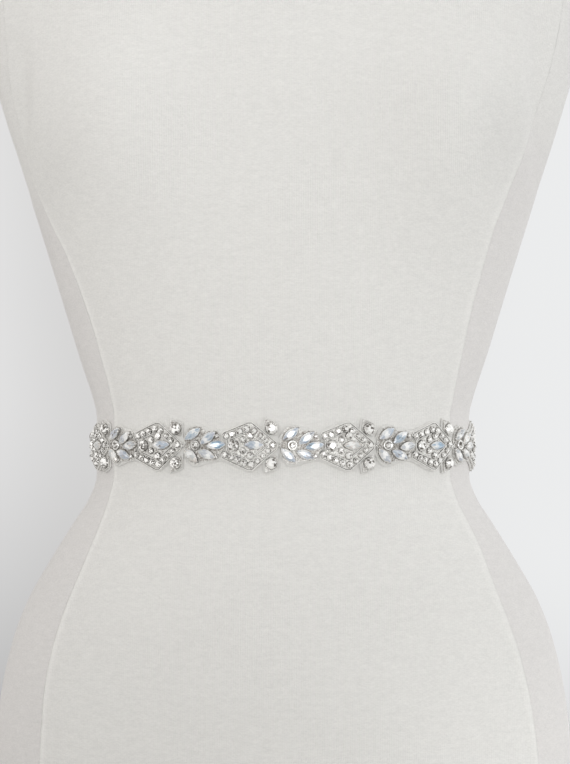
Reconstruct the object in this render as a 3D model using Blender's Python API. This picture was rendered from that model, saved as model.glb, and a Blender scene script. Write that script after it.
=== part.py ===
"""Bridal sash on a limbless dress form.

A rhinestone applique on a trimmed cloth backing goes round the front and the sides of the waist. A satin
ribbon is sewn under each of its ends, and the two ribbons lap at the centre back over a flat hook and bar.

Units are metres and +Z is up. The front faces -Y. The origin is on the floor, straight below the middle of
the waist. Small sizes are written in millimetres and multiplied by MM. Places on the sash are given as
"along" (arc length round the waist from the centre front, towards +X), "up" (above the sash's centre line)
and "out" (away from the form's surface).
"""
from bisect import bisect_right
from collections import namedtuple
from math import ceil, cos, hypot, pi, radians, sin

import bmesh
import bpy
from mathutils import Vector
from mathutils.geometry import delaunay_2d_cdt

MM = 0.001

# Dress form
WAIST_HEIGHT = 290 * MM
NECK_TOP = 462 * MM
FORM_COLUMNS = 48
FORM_ROW_STEP = 21 * MM
FORM_EDGE_RADIUS = 7 * MM
FORM_EDGE_STEPS = 3

# Height above the waist, half width, and depth in front of and behind the side line, in millimetres.
FormSection = namedtuple("FormSection", "height half_width front back")
FORM_SECTIONS = [
    FormSection(-290, 180.0, 99, 112),
    FormSection(-245, 184.0, 103, 115),
    FormSection(-204, 184.5, 105, 117),
    FormSection(-163, 181.0, 105, 117),
    FormSection(-125, 173.0, 103, 114),
    FormSection(-99, 163.5, 100, 109),
    FormSection(-73, 149.0, 96, 101),
    FormSection(-48, 133.5, 91, 92),
    FormSection(-33, 124.0, 87.5, 87),
    FormSection(-19, 119.4, 84.5, 84.5),
    FormSection(19, 119.4, 84.5, 84.5),
    FormSection(30, 121.8, 85.5, 85.5),
    FormSection(55, 130.0, 88, 89),
    FormSection(107, 146.0, 94, 97),
    FormSection(158, 162.0, 99, 104),
    FormSection(210, 178.5, 101, 108),
    FormSection(245, 188.5, 98, 109),
    FormSection(280, 195.5, 91, 106),
    FormSection(310, 197.5, 82, 99),
    FormSection(335, 192.0, 72, 89),
    FormSection(354, 173.0, 63, 78),
    FormSection(370, 141.0, 56, 69),
    FormSection(384, 104.0, 51, 62),
    FormSection(396, 77.0, 49, 56),
    FormSection(412, 62.0, 49, 51),
    FormSection(432, 57.5, 49, 48),
    FormSection(462, 56.5, 49, 47),
]

# Bust: two soft mounds added to the front of the chest
BUST_SIDE = 118 * MM
BUST_HEIGHT = 192 * MM
BUST_DEPTH = 26 * MM
BUST_SPREAD_ACROSS = 40 * MM
BUST_SPREAD_UP = 56 * MM

# Sash layers, from the form outwards
SEAM_GAP = 0.3 * MM
CLOTH = 1.0 * MM
LAYER = CLOTH + SEAM_GAP

# Applique
REPEATS = 8
REPEAT_LENGTH = 59.3 * MM
FIRST_CROSSING = -239.8 * MM
RIBBON_TUCK = 20 * MM
TUCK_RAMP = 14 * MM

# Edge of the backing beside a spray, from the crossing on its left, and beside a diamond and its buds, from
# the crossing on their right, in millimetres
EdgeRow = namedtuple("EdgeRow", "along top bottom")
SPRAY_EDGE = [
    EdgeRow(0.0, 4.6, -4.6),
    EdgeRow(0.9, 6.6, -6.4),
    EdgeRow(2.4, 9.4, -9.6),
    EdgeRow(5.4, 12.1, -12.3),
    EdgeRow(9.0, 13.1, -12.9),
    EdgeRow(12.4, 12.4, -11.9),
    EdgeRow(16.0, 10.9, -10.5),
    EdgeRow(20.0, 10.3, -9.8),
    EdgeRow(23.6, 9.6, -9.1),
]
DIAMOND_EDGE = [
    EdgeRow(-32.0, 10.0, -10.2),
    EdgeRow(-27.8, 11.6, -12.0),
    EdgeRow(-23.4, 13.3, -13.9),
    EdgeRow(-18.9, 15.1, -15.8),
    EdgeRow(-15.9, 15.0, -15.6),
    EdgeRow(-13.0, 12.8, -13.1),
    EdgeRow(-9.8, 10.3, -10.5),
    EdgeRow(-8.7, 17.1, -17.1),
    EdgeRow(-7.2, 17.0, -17.0),
    EdgeRow(-3.6, 15.7, -15.7),
    EdgeRow(-0.5, 14.2, -14.2),
    EdgeRow(-0.1, 7.4, -7.4),
]

# Levels of the motifs above the backing's face
PLATE_BACK = SEAM_GAP
PLATE_FLOOR = 1.2 * MM
RIM_TOP = 2.1 * MM
SMALL_GIRDLE = 2.0 * MM
SMALL_TABLE = 2.9 * MM
LARGE_GIRDLE = 2.4 * MM
LARGE_TABLE = 3.7 * MM
BUD_TABLE = 4.0 * MM
PLATE_STEP = 4.5 * MM

# Stones
NAVETTE_LENGTH = 11.2 * MM
NAVETTE_WIDTH = 5.6 * MM
NAVETTE_TABLE = 0.45
ROUND_TABLE = 0.55
SPRAY_CENTRE_RADIUS = 3.0 * MM
DIAMOND_ROUND_RADIUS = 3.25 * MM
DIAMOND_RING_RADIUS = 2.1 * MM
DIAMOND_SMALL_RADIUS = 1.8 * MM
BUD_STONE_RADIUS = 3.25 * MM
LARGE_STONE_SIDES = 8
SMALL_STONE_SIDES = 6

# Places of stones in millimetres, with the angle of a navette's long axis in degrees. A spray is measured
# from the crossing on its left, and a diamond and its buds from the crossing on their right.
StonePlace = namedtuple("StonePlace", "along up angle")
SPRAY_NAVETTES = [
    StonePlace(7.2, 7.5, 35),
    StonePlace(16.5, 5.0, 36),
    StonePlace(21.4, 0.2, 8),
    StonePlace(6.0, -5.7, -44),
    StonePlace(15.8, -5.2, -24),
]
SPRAY_CENTRE = StonePlace(8.3, 0.5, 0)
DIAMOND_NAVETTE = StonePlace(-14.4, 0.4, 0)
DIAMOND_ROUND = StonePlace(-27.2, 0.2, 0)
DIAMOND_RINGS = [StonePlace(-16.8, 6.3, 0), StonePlace(-17.0, -6.0, 0)]
DIAMOND_SMALL = [StonePlace(-21.4, 3.9, 0), StonePlace(-21.5, -2.9, 0)]
BUD_STONE = StonePlace(-4.2, 10.5, 0)

# Outlines in millimetres, anticlockwise, from the same crossings
Corner = namedtuple("Corner", "along up")
SPRAY_OUTLINE = [
    Corner(1.0, -1.2),
    Corner(1.2, -4.6),
    Corner(2.8, -8.0),
    Corner(6.2, -10.9),
    Corner(10.2, -11.3),
    Corner(11.6, -9.6),
    Corner(15.0, -9.3),
    Corner(20.8, -9.1),
    Corner(23.3, -8.0),
    Corner(23.8, -5.2),
    Corner(25.6, -2.6),
    Corner(27.5, 0.4),
    Corner(27.4, 1.8),
    Corner(25.2, 3.4),
    Corner(23.8, 5.2),
    Corner(23.2, 8.2),
    Corner(21.8, 9.3),
    Corner(14.4, 9.2),
    Corner(12.8, 11.6),
    Corner(8.6, 12.3),
    Corner(4.6, 10.9),
    Corner(2.0, 7.4),
    Corner(1.2, 3.6),
]
DIAMOND_OUTLINE = [
    Corner(-0.4, 1.0),
    Corner(-1.2, 2.5),
    Corner(-15.8, 14.5),
    Corner(-18.4, 14.5),
    Corner(-33.2, 8.5),
    Corner(-34.4, 6.6),
    Corner(-31.4, 3.4),
    Corner(-31.4, -2.9),
    Corner(-34.6, -5.3),
    Corner(-34.2, -7.7),
    Corner(-18.6, -15.0),
    Corner(-15.8, -15.0),
    Corner(-1.2, -2.4),
    Corner(-0.4, -0.9),
]
DIAMOND_POCKET = [
    Corner(-5.8, 0.6),
    Corner(-16.8, 9.4),
    Corner(-29.6, 4.6),
    Corner(-30.8, 2.6),
    Corner(-30.8, -2.2),
    Corner(-29.4, -4.4),
    Corner(-17.0, -9.2),
]
BUD_OUTLINE = [
    Corner(-8.0, 16.3),
    Corner(-8.3, 9.7),
    Corner(-6.3, 7.4),
    Corner(-1.5, 5.9),
    Corner(-0.6, 8.4),
    Corner(-0.6, 13.2),
    Corner(-3.8, 15.0),
]

# Ribbon and its closure
RIBBON_HALF_WIDTH = 11 * MM
RIBBON_STEP = 4.5 * MM
LAP_REACH = 14 * MM
LAP_RAMP = 16 * MM
CLOSURE_RADIUS = 0.8 * MM
HOOK_METAL = 0.6 * MM
HOOK_HALF_WIDTH = 3.2 * MM
HOOK_PLATE = 8 * MM
HOOK_LIP = 3 * MM
HOOK_BEND_STEPS = 6
BAR_HALF_WIDTH = 6.5 * MM
BAR_FOOT = 2.2 * MM
BAR_METAL = 1.0 * MM
LAP_ROOM = 2 * (CLOSURE_RADIUS + HOOK_METAL) + SEAM_GAP

WAIST_SAMPLES = 1440


def smooth_curve(places, values):
    """A rising table read as a smooth curve that never overshoots its rows (monotone cubic)."""
    steps = [b - a for a, b in zip(places, places[1:])]
    slopes = [(b - a) / step for a, b, step in zip(values, values[1:], steps)]
    tangents = [slopes[0]]
    for left, right in zip(slopes, slopes[1:]):
        tangents.append(0.0 if left * right <= 0 else 2 * left * right / (left + right))
    tangents.append(slopes[-1])

    def read(place):
        row = min(max(bisect_right(places, place) - 1, 0), len(steps) - 1)
        step = steps[row]
        share = min(max((place - places[row]) / step, 0.0), 1.0)
        square = share * share
        cube = square * share
        return (
            (2 * cube - 3 * square + 1) * values[row]
            + (cube - 2 * square + share) * step * tangents[row]
            + (3 * square - 2 * cube) * values[row + 1]
            + (cube - square) * step * tangents[row + 1]
        )

    return read


def smooth_step(share):
    """0 to 1 with level ends."""
    share = min(max(share, 0.0), 1.0)
    return share * share * (3 - 2 * share)


SECTION_HEIGHTS = [section.height * MM for section in FORM_SECTIONS]
form_half_width = smooth_curve(SECTION_HEIGHTS, [section.half_width * MM for section in FORM_SECTIONS])
form_front = smooth_curve(SECTION_HEIGHTS, [section.front * MM for section in FORM_SECTIONS])
form_back = smooth_curve(SECTION_HEIGHTS, [section.back * MM for section in FORM_SECTIONS])


def bust(x, height):
    """How far the two mounds carry the chest forward."""
    level = ((height - BUST_HEIGHT) / BUST_SPREAD_UP) ** 2
    across = ((abs(x) - BUST_SIDE) / BUST_SPREAD_ACROSS) ** 2
    return BUST_DEPTH * 2.0 ** -(level + across)


def form_point(height, angle):
    """The form's surface at a height above the waist; the angle is 0 at the centre front, towards +X."""
    half_width = form_half_width(height)
    x = half_width * sin(angle)
    facing = cos(angle)
    if facing > 0:
        y = -(form_front(height) + bust(x, height)) * facing
    else:
        y = -form_back(height) * facing
    return Vector((x, y, WAIST_HEIGHT + height))


class WaistCurve:
    """The form's outline at the waist, read by arc length."""

    def __init__(self):
        self.half_width = form_half_width(0.0)
        self.depth = form_front(0.0)
        self.lengths = [0.0]
        turn = 2 * pi / WAIST_SAMPLES
        for i in range(WAIST_SAMPLES):
            start = self.place(i * turn)
            end = self.place((i + 1) * turn)
            self.lengths.append(self.lengths[-1] + hypot(end[0] - start[0], end[1] - start[1]))
        self.length = self.lengths[-1]

    def place(self, angle):
        return self.half_width * sin(angle), -self.depth * cos(angle)

    def angle(self, along):
        """The angle at an arc length from the centre front."""
        along %= self.length
        i = min(bisect_right(self.lengths, along) - 1, WAIST_SAMPLES - 1)
        share = (along - self.lengths[i]) / (self.lengths[i + 1] - self.lengths[i])
        return (i + share) * 2 * pi / WAIST_SAMPLES


WAIST = WaistCurve()


def sash_point(along, up, out):
    """A point beside the waist: along it, up from its centre line and out from its surface."""
    angle = WAIST.angle(along)
    x, y = WAIST.place(angle)
    outward = Vector((WAIST.depth * sin(angle), -WAIST.half_width * cos(angle), 0.0)).normalized()
    return Vector((x, y, WAIST_HEIGHT + up)) + outward * out


APPLIQUE_START = FIRST_CROSSING
APPLIQUE_END = FIRST_CROSSING + REPEATS * REPEAT_LENGTH


def backing_out(along):
    """How far the back of the applique lies from the form: it climbs over the ribbon at both ends."""
    from_end = min(along - APPLIQUE_START, APPLIQUE_END - along)
    climb = smooth_step((RIBBON_TUCK + TUCK_RAMP - from_end) / TUCK_RAMP)
    return SEAM_GAP + climb * LAYER


def make_material(name, colour, roughness, metallic=0.0):
    material = bpy.data.materials.new(name)
    material.use_nodes = True
    shader = material.node_tree.nodes["Principled BSDF"]
    shader.inputs["Base Color"].default_value = (*colour, 1.0)
    shader.inputs["Roughness"].default_value = roughness
    shader.inputs["Metallic"].default_value = metallic
    return material


def make_object(name, points, faces, material):
    """An object from points and faces, with its faces turned outwards."""
    mesh = bpy.data.meshes.new(name)
    mesh.from_pydata(points, [], faces)
    shape = bmesh.new()
    shape.from_mesh(mesh)
    bmesh.ops.recalc_face_normals(shape, faces=shape.faces)
    shape.to_mesh(mesh)
    shape.free()
    mesh.materials.append(material)
    made = bpy.data.objects.new(name, mesh)
    bpy.context.scene.collection.objects.link(made)
    return made


def loft(name, rings, material, round_trip=False):
    """A body through rings of equal count: closed on itself, or with a flat cap at each end."""
    count = len(rings[0])
    points = [point for ring in rings for point in ring]
    faces = []
    last = len(rings) if round_trip else len(rings) - 1
    for row in range(last):
        here = row * count
        there = (row + 1) % len(rings) * count
        for i in range(count):
            j = (i + 1) % count
            faces.append((here + i, here + j, there + j, there + i))
    if not round_trip:
        faces.append(tuple(range(count)))
        faces.append(tuple(range((len(rings) - 1) * count, len(rings) * count)))
    return make_object(name, points, faces, material)


def steps_between(start, end, longest):
    """Even steps from start to end, none longer than asked."""
    count = max(1, ceil(abs(end - start) / longest - 1e-9))
    return [start + (end - start) * i / count for i in range(count + 1)]


# Dress form


def rounded_rows(height, inward):
    """Rows of a quarter round that ends on a flat: each is a height and how far the ring pulls in."""
    rows = []
    for i in range(FORM_EDGE_STEPS + 1):
        angle = pi / 2 * i / FORM_EDGE_STEPS
        rise = FORM_EDGE_RADIUS * (1 - sin(angle))
        rows.append((height + inward * rise, FORM_EDGE_RADIUS * (1 - cos(angle))))
    return rows


def make_dress_form(material):
    rows = sorted(rounded_rows(-WAIST_HEIGHT, 1))
    marks = [rows[-1][0]] + SECTION_HEIGHTS[1:-1] + [NECK_TOP - FORM_EDGE_RADIUS]
    for low, high in zip(marks, marks[1:]):
        rows += [(height, 0.0) for height in steps_between(low, high, FORM_ROW_STEP)[1:]]
    rows += sorted(rounded_rows(NECK_TOP, -1))[1:]
    rings = []
    for height, pull in rows:
        ring = []
        for i in range(FORM_COLUMNS):
            point = form_point(height, 2 * pi * i / FORM_COLUMNS)
            inward = Vector((point.x, point.y, 0.0)).normalized() * pull
            ring.append(point - inward)
        rings.append(ring)
    made = loft("dress_form", rings, material)
    made.data.shade_smooth()
    made.data.set_sharp_from_angle(angle=radians(50))
    return made


# Cloth strips


def wall_ring(along, bottom, top, inner, outer):
    """The four corners of a cloth wall's section at one place along the waist."""
    return [
        sash_point(along, bottom, inner),
        sash_point(along, bottom, outer),
        sash_point(along, top, outer),
        sash_point(along, top, inner),
    ]


def backing_ring(along, row):
    inner = backing_out(along)
    return wall_ring(along, row.bottom * MM, row.top * MM, inner, inner + CLOTH)


def make_backing(material):
    rings = []
    for repeat in range(REPEATS):
        left = FIRST_CROSSING + repeat * REPEAT_LENGTH
        for crossing, edge in ((left, SPRAY_EDGE), (left + REPEAT_LENGTH, DIAMOND_EDGE)):
            rings += [backing_ring(crossing + row.along * MM, row) for row in edge]
    rings.append(backing_ring(APPLIQUE_END, SPRAY_EDGE[0]))
    return loft("applique_backing", rings, material)


def make_ribbon(name, start, end, lift, material):
    """A ribbon of even width; lift gives how far each place stands off its layer on the form."""
    rings = []
    for along in steps_between(start, end, RIBBON_STEP):
        inner = SEAM_GAP + lift(along)
        rings.append(wall_ring(along, -RIBBON_HALF_WIDTH, RIBBON_HALF_WIDTH, inner, inner + CLOTH))
    return loft(name, rings, material)


CENTRE_BACK = WAIST.length / 2


def lap_lift(along):
    """The upper ribbon climbs over the closure and the lower ribbon before the lap begins."""
    share = (along - (CENTRE_BACK - LAP_REACH - LAP_RAMP)) / LAP_RAMP
    return smooth_step(share) * (LAYER + LAP_ROOM)


def make_ribbons(material):
    make_ribbon("ribbon_right", APPLIQUE_END - RIBBON_TUCK, CENTRE_BACK + LAP_REACH, lap_lift, material)
    left_end = APPLIQUE_START + WAIST.length + RIBBON_TUCK
    make_ribbon("ribbon_left", CENTRE_BACK - LAP_REACH, left_end, lambda along: 0.0, material)


# Closure: a flat hook under the upper ribbon catches a bar on the lower one


def make_prism(name, corners, place, span, material):
    """A profile carried across a span; place turns (profile x, profile y, across) into a point."""
    rings = [[place(x, y, across) for x, y in corners] for across in span]
    return loft(name, rings, material)


def make_closure(material):
    bar_centre = SEAM_GAP + LAYER + CLOSURE_RADIUS + HOOK_METAL
    outer = CLOSURE_RADIUS + HOOK_METAL
    angles = [pi / 2 - pi * i / HOOK_BEND_STEPS for i in range(HOOK_BEND_STEPS + 1)]
    bend = [(cos(angle), sin(angle)) for angle in angles]
    outer_side = [(CENTRE_BACK + outer * x, bar_centre + outer * y) for x, y in bend]
    inner_side = [(CENTRE_BACK + CLOSURE_RADIUS * x, bar_centre + CLOSURE_RADIUS * y) for x, y in bend]
    plate_end = CENTRE_BACK - HOOK_PLATE
    lip_end = CENTRE_BACK - HOOK_LIP
    hook = (
        [(plate_end, bar_centre + outer)]
        + outer_side
        + [(lip_end, bar_centre - outer), (lip_end, bar_centre - CLOSURE_RADIUS)]
        + inner_side[::-1]
        + [(plate_end, bar_centre + CLOSURE_RADIUS)]
    )
    make_prism(
        "closure_hook",
        hook,
        lambda along, out, up: sash_point(along, up, out),
        (-HOOK_HALF_WIDTH, HOOK_HALF_WIDTH),
        material,
    )
    foot_level = SEAM_GAP + LAYER
    half = BAR_METAL / 2
    inside = BAR_HALF_WIDTH - BAR_FOOT
    staple = [
        (-BAR_HALF_WIDTH, foot_level),
        (-inside, foot_level),
        (-inside, bar_centre - half),
        (inside, bar_centre - half),
        (inside, foot_level),
        (BAR_HALF_WIDTH, foot_level),
        (BAR_HALF_WIDTH, bar_centre + half),
        (-BAR_HALF_WIDTH, bar_centre + half),
    ]
    make_prism(
        "closure_bar",
        staple,
        lambda up, out, along: sash_point(along, up, out),
        (CENTRE_BACK - half, CENTRE_BACK + half),
        material,
    )


# Motifs: one plate with a plain back each, and stones raised from its face

# A raised or sunk area: its loop, the level around it, its own level, and a stone's table if it has one.
Feature = namedtuple("Feature", "loop around level table_level table_scale")


def in_metres(corners):
    return [Vector((corner.along * MM, corner.up * MM)) for corner in corners]


def mirrored(corners):
    """The same outline below the centre line, still anticlockwise."""
    return [Corner(corner.along, -corner.up) for corner in reversed(corners)]


def divided(loop, longest):
    """The loop with extra points, so that each side can follow the curve of the waist."""
    points = []
    for start, end in zip(loop, loop[1:] + loop[:1]):
        count = max(1, ceil((end - start).length / longest - 1e-9))
        points += [start.lerp(end, i / count) for i in range(count)]
    return points


def round_loop(place, radius, sides):
    centre = Vector((place.along * MM, place.up * MM))
    turns = [2 * pi * i / sides for i in range(sides)]
    return [centre + radius * Vector((cos(turn), sin(turn))) for turn in turns]


def navette_loop(place):
    """A boat-shaped stone: a tip at each end and two bowed sides."""
    half_length = NAVETTE_LENGTH / 2
    half_width = NAVETTE_WIDTH / 2
    shape = [(1, 0), (0.55, 0.7), (0, 1), (-0.55, 0.7), (-1, 0), (-0.55, -0.7), (0, -1), (0.55, -0.7)]
    tilt = radians(place.angle)
    loop = []
    for x, y in shape:
        along = place.along * MM + half_length * x * cos(tilt) - half_width * y * sin(tilt)
        up = place.up * MM + half_length * x * sin(tilt) + half_width * y * cos(tilt)
        loop.append(Vector((along, up)))
    return loop


def is_inside(point, loop):
    inside = False
    for start, end in zip(loop, loop[1:] + loop[:1]):
        if (start.y > point.y) != (end.y > point.y):
            crossing = start.x + (point.y - start.y) / (end.y - start.y) * (end.x - start.x)
            inside ^= crossing > point.x
    return inside


def grid_inside(loop, step, margin):
    """Points of a grid that lie inside a loop, none closer than the margin to its corners."""
    low = Vector((min(p.x for p in loop), min(p.y for p in loop)))
    high = Vector((max(p.x for p in loop), max(p.y for p in loop)))
    points = []
    for x in steps_between(low.x, high.x, step)[1:-1]:
        for y in steps_between(low.y, high.y, step)[1:-1]:
            point = Vector((x, y))
            if is_inside(point, loop) and min((point - corner).length for corner in loop) > margin:
                points.append(point)
    return points


def triangulate(loops, loose):
    """Triangles of the first loop and the loops inside it, each with the innermost loop it lies in."""
    points = [point for loop in loops for point in loop]
    faces = []
    first = 0
    for loop in loops:
        faces.append(list(range(first, first + len(loop))))
        first += len(loop)
    found, _, triangles, sources, _, owners = delaunay_2d_cdt(points + loose, [], faces, 1, 1e-7)
    new_index = {old: new for new, olds in enumerate(sources) for old in olds}
    rings = [[new_index[i] for i in face] for face in faces]
    return found, rings, [(tuple(triangle), max(owner)) for triangle, owner in zip(triangles, owners)]


def make_motif(name, crossing, outline, face_level, features, material):
    """A plate bent round the waist, with a plain back, raised stones and sunk pockets."""
    edge = divided(outline, PLATE_STEP)
    points = []
    faces = []
    index_of = {}

    def point_at(place, level):
        along = crossing + place.x
        points.append(sash_point(along, place.y, backing_out(along) + CLOTH + level))
        return len(points) - 1

    def shared(place, level):
        """The same place at the same level is one point."""
        key = (round(place.x, 7), round(place.y, 7), level)
        if key not in index_of:
            index_of[key] = point_at(place, level)
        return index_of[key]

    def wall(loop, low, high):
        for start, end in zip(loop, loop[1:] + loop[:1]):
            faces.append((shared(start, low), shared(end, low), shared(end, high), shared(start, high)))

    found, rings, triangles = triangulate([edge] + [feature.loop for feature in features], [])
    levels = [face_level] + [feature.level for feature in features]
    is_stone = [False] + [feature.table_level is not None for feature in features]
    for triangle, owner in triangles:
        if not is_stone[owner]:
            faces.append(tuple(shared(found[i], levels[owner]) for i in triangle))
    for feature, ring in zip(features, rings[1:]):
        loop = [found[i] for i in ring]
        wall(loop, feature.around, feature.level)
        if feature.table_level is None:
            continue
        centre = sum(loop, Vector((0.0, 0.0))) / len(loop)
        table = [point_at(centre.lerp(p, feature.table_scale), feature.table_level) for p in loop]
        girdle = [shared(p, feature.level) for p in loop]
        for i in range(len(loop)):
            j = (i + 1) % len(loop)
            faces.append((girdle[i], girdle[j], table[j], table[i]))
        faces.append(tuple(table))

    wall([found[i] for i in rings[0]], PLATE_BACK, face_level)
    loose = grid_inside(edge, PLATE_STEP, PLATE_STEP / 3)
    found, _, triangles = triangulate([edge], loose)
    for triangle, _ in triangles:
        faces.append(tuple(shared(found[i], PLATE_BACK) for i in triangle))
    return make_object(name, points, faces, material)


def large_round(place, radius, table_level):
    loop = round_loop(place, radius, LARGE_STONE_SIDES)
    return Feature(loop, PLATE_FLOOR, LARGE_GIRDLE, table_level, ROUND_TABLE)


def navette(place):
    return Feature(navette_loop(place), PLATE_FLOOR, LARGE_GIRDLE, LARGE_TABLE, NAVETTE_TABLE)


def small_round(place, radius):
    loop = round_loop(place, radius, SMALL_STONE_SIDES)
    return Feature(loop, PLATE_FLOOR, SMALL_GIRDLE, SMALL_TABLE, ROUND_TABLE)


def make_spray(name, crossing, material):
    features = [navette(place) for place in SPRAY_NAVETTES]
    features.append(large_round(SPRAY_CENTRE, SPRAY_CENTRE_RADIUS, LARGE_TABLE))
    make_motif(name, crossing, in_metres(SPRAY_OUTLINE), PLATE_FLOOR, features, material)


def make_diamond(name, crossing, material):
    pocket = divided(in_metres(DIAMOND_POCKET), PLATE_STEP)
    features = [Feature(pocket, RIM_TOP, PLATE_FLOOR, None, None)]
    features.append(navette(DIAMOND_NAVETTE))
    features.append(large_round(DIAMOND_ROUND, DIAMOND_ROUND_RADIUS, LARGE_TABLE))
    features += [small_round(place, DIAMOND_RING_RADIUS) for place in DIAMOND_RINGS]
    features += [small_round(place, DIAMOND_SMALL_RADIUS) for place in DIAMOND_SMALL]
    make_motif(name, crossing, in_metres(DIAMOND_OUTLINE), RIM_TOP, features, material)


def make_bud(name, crossing, side, material):
    """A bud above (side 1) or below (side -1) the crossing."""
    outline = BUD_OUTLINE if side > 0 else mirrored(BUD_OUTLINE)
    place = BUD_STONE._replace(up=BUD_STONE.up * side)
    features = [large_round(place, BUD_STONE_RADIUS, BUD_TABLE)]
    make_motif(name, crossing, in_metres(outline), PLATE_FLOOR, features, material)


def make_applique(setting, opal, crystal):
    for repeat in range(REPEATS):
        left = FIRST_CROSSING + repeat * REPEAT_LENGTH
        right = left + REPEAT_LENGTH
        number = repeat + 1
        make_spray(f"leaf_spray_{number}", left, opal)
        make_diamond(f"diamond_{number}", right, setting)
        make_bud(f"bud_upper_{number}", right, 1, crystal)
        make_bud(f"bud_lower_{number}", right, -1, crystal)


def main():
    for old in list(bpy.data.objects):
        bpy.data.objects.remove(old)
    jersey = make_material("jersey", (0.72, 0.70, 0.66), 0.9)
    backing_cloth = make_material("backing_cloth", (0.78, 0.77, 0.74), 0.85)
    setting = make_material("silver_setting", (0.72, 0.72, 0.73), 0.25, metallic=1.0)
    opal = make_material("opal", (0.72, 0.80, 0.88), 0.12)
    crystal = make_material("crystal", (0.90, 0.91, 0.93), 0.05)
    satin = make_material("satin", (0.88, 0.86, 0.82), 0.4)
    steel = make_material("steel", (0.62, 0.62, 0.62), 0.35, metallic=1.0)
    make_dress_form(jersey)
    make_backing(backing_cloth)
    make_applique(setting, opal, crystal)
    make_ribbons(satin)
    make_closure(steel)


main()
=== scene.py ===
"""Looks of the bridal sash on its dress form: jersey cover, applique cloth, set stones and satin ribbons.

Places on the sash are given as "along" (arc length round the waist from the centre front, towards +X), "up"
(above the sash's centre line) and "level" (out from the face of the applique's backing cloth). Small sizes
are written in millimetres and multiplied by MM. A tone says how light a face is: 0 is dark, 1 is bright and
more than that may glow as a painted glint. On the stones and their settings the tones are partly painted
light and shade.
"""
import random
from bisect import bisect_right
from collections import namedtuple
from math import asin, ceil, cos, exp, hypot, pi, radians, sin

import bmesh
import bpy
from mathutils import Matrix, Vector
from mathutils.geometry import delaunay_2d_cdt


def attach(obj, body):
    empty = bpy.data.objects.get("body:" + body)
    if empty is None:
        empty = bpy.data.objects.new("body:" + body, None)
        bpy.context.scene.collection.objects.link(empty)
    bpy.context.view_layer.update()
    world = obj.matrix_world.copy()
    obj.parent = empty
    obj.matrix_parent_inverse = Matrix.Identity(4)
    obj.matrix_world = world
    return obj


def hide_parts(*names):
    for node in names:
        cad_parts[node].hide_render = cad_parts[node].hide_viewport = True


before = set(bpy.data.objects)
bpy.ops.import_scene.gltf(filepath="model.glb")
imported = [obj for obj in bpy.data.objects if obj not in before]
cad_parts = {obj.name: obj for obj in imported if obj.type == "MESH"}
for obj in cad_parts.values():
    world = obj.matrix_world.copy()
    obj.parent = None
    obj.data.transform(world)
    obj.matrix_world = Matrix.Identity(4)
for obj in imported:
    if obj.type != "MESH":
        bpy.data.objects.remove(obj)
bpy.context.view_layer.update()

MM = 0.001


def table(kind, *rows):
    """Rows with the kind's named columns."""
    return [kind(*row) for row in rows]


# Dress form, as the source has it; its sections are in millimetres and their heights above the waist
WAIST_HEIGHT = 290 * MM
NECK_TOP = 462 * MM
FORM_EDGE_RADIUS = 7 * MM
FormSection = namedtuple("FormSection", "height half_width front back")
FORM_SECTIONS = table(
    FormSection,
    (-290, 180.0, 99, 112), (-245, 184.0, 103, 115), (-204, 184.5, 105, 117), (-163, 181.0, 105, 117),
    (-125, 173.0, 103, 114), (-99, 163.5, 100, 109), (-73, 149.0, 96, 101), (-48, 133.5, 91, 92),
    (-33, 124.0, 87.5, 87), (-19, 119.4, 84.5, 84.5), (19, 119.4, 84.5, 84.5), (30, 121.8, 85.5, 85.5),
    (55, 130.0, 88, 89), (107, 146.0, 94, 97), (158, 162.0, 99, 104), (210, 178.5, 101, 108),
    (245, 188.5, 98, 109), (280, 195.5, 91, 106), (310, 197.5, 82, 99), (335, 192.0, 72, 89),
    (354, 173.0, 63, 78), (370, 141.0, 56, 69), (384, 104.0, 51, 62), (396, 77.0, 49, 56),
    (412, 62.0, 49, 51), (432, 57.5, 49, 48), (462, 56.5, 49, 47),
)
BUST_SIDE = 118 * MM
BUST_HEIGHT = 192 * MM
BUST_DEPTH = 26 * MM
BUST_SPREAD_ACROSS = 40 * MM
BUST_SPREAD_UP = 56 * MM

# Side seams: how much of the half width the front panel takes at each height above the waist. The cover was
# fitted by hand, so the seams on its left (towards -X) and right differ.
SeamRow = namedtuple("SeamRow", "height left right")
SEAM_ROWS = table(
    SeamRow,
    (-290, 0.812, 0.862), (-193, 0.812, 0.855), (-138, 0.822, 0.843), (-95, 0.82, 0.83), (-58, 0.84, 0.86),
    (-21, 0.887, 0.875), (24, 0.885, 0.875), (46, 0.876, 0.862), (67, 0.874, 0.85), (91, 0.884, 0.843),
    (106, 0.894, 0.843), (121, 0.906, 0.844), (134, 0.926, 0.846), (150, 0.944, 0.858), (177, 0.962, 0.878),
    (210, 0.95, 0.9), (280, 0.9, 0.9), (396, 0.93, 0.93), (462, 0.93, 0.93),
)

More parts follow.
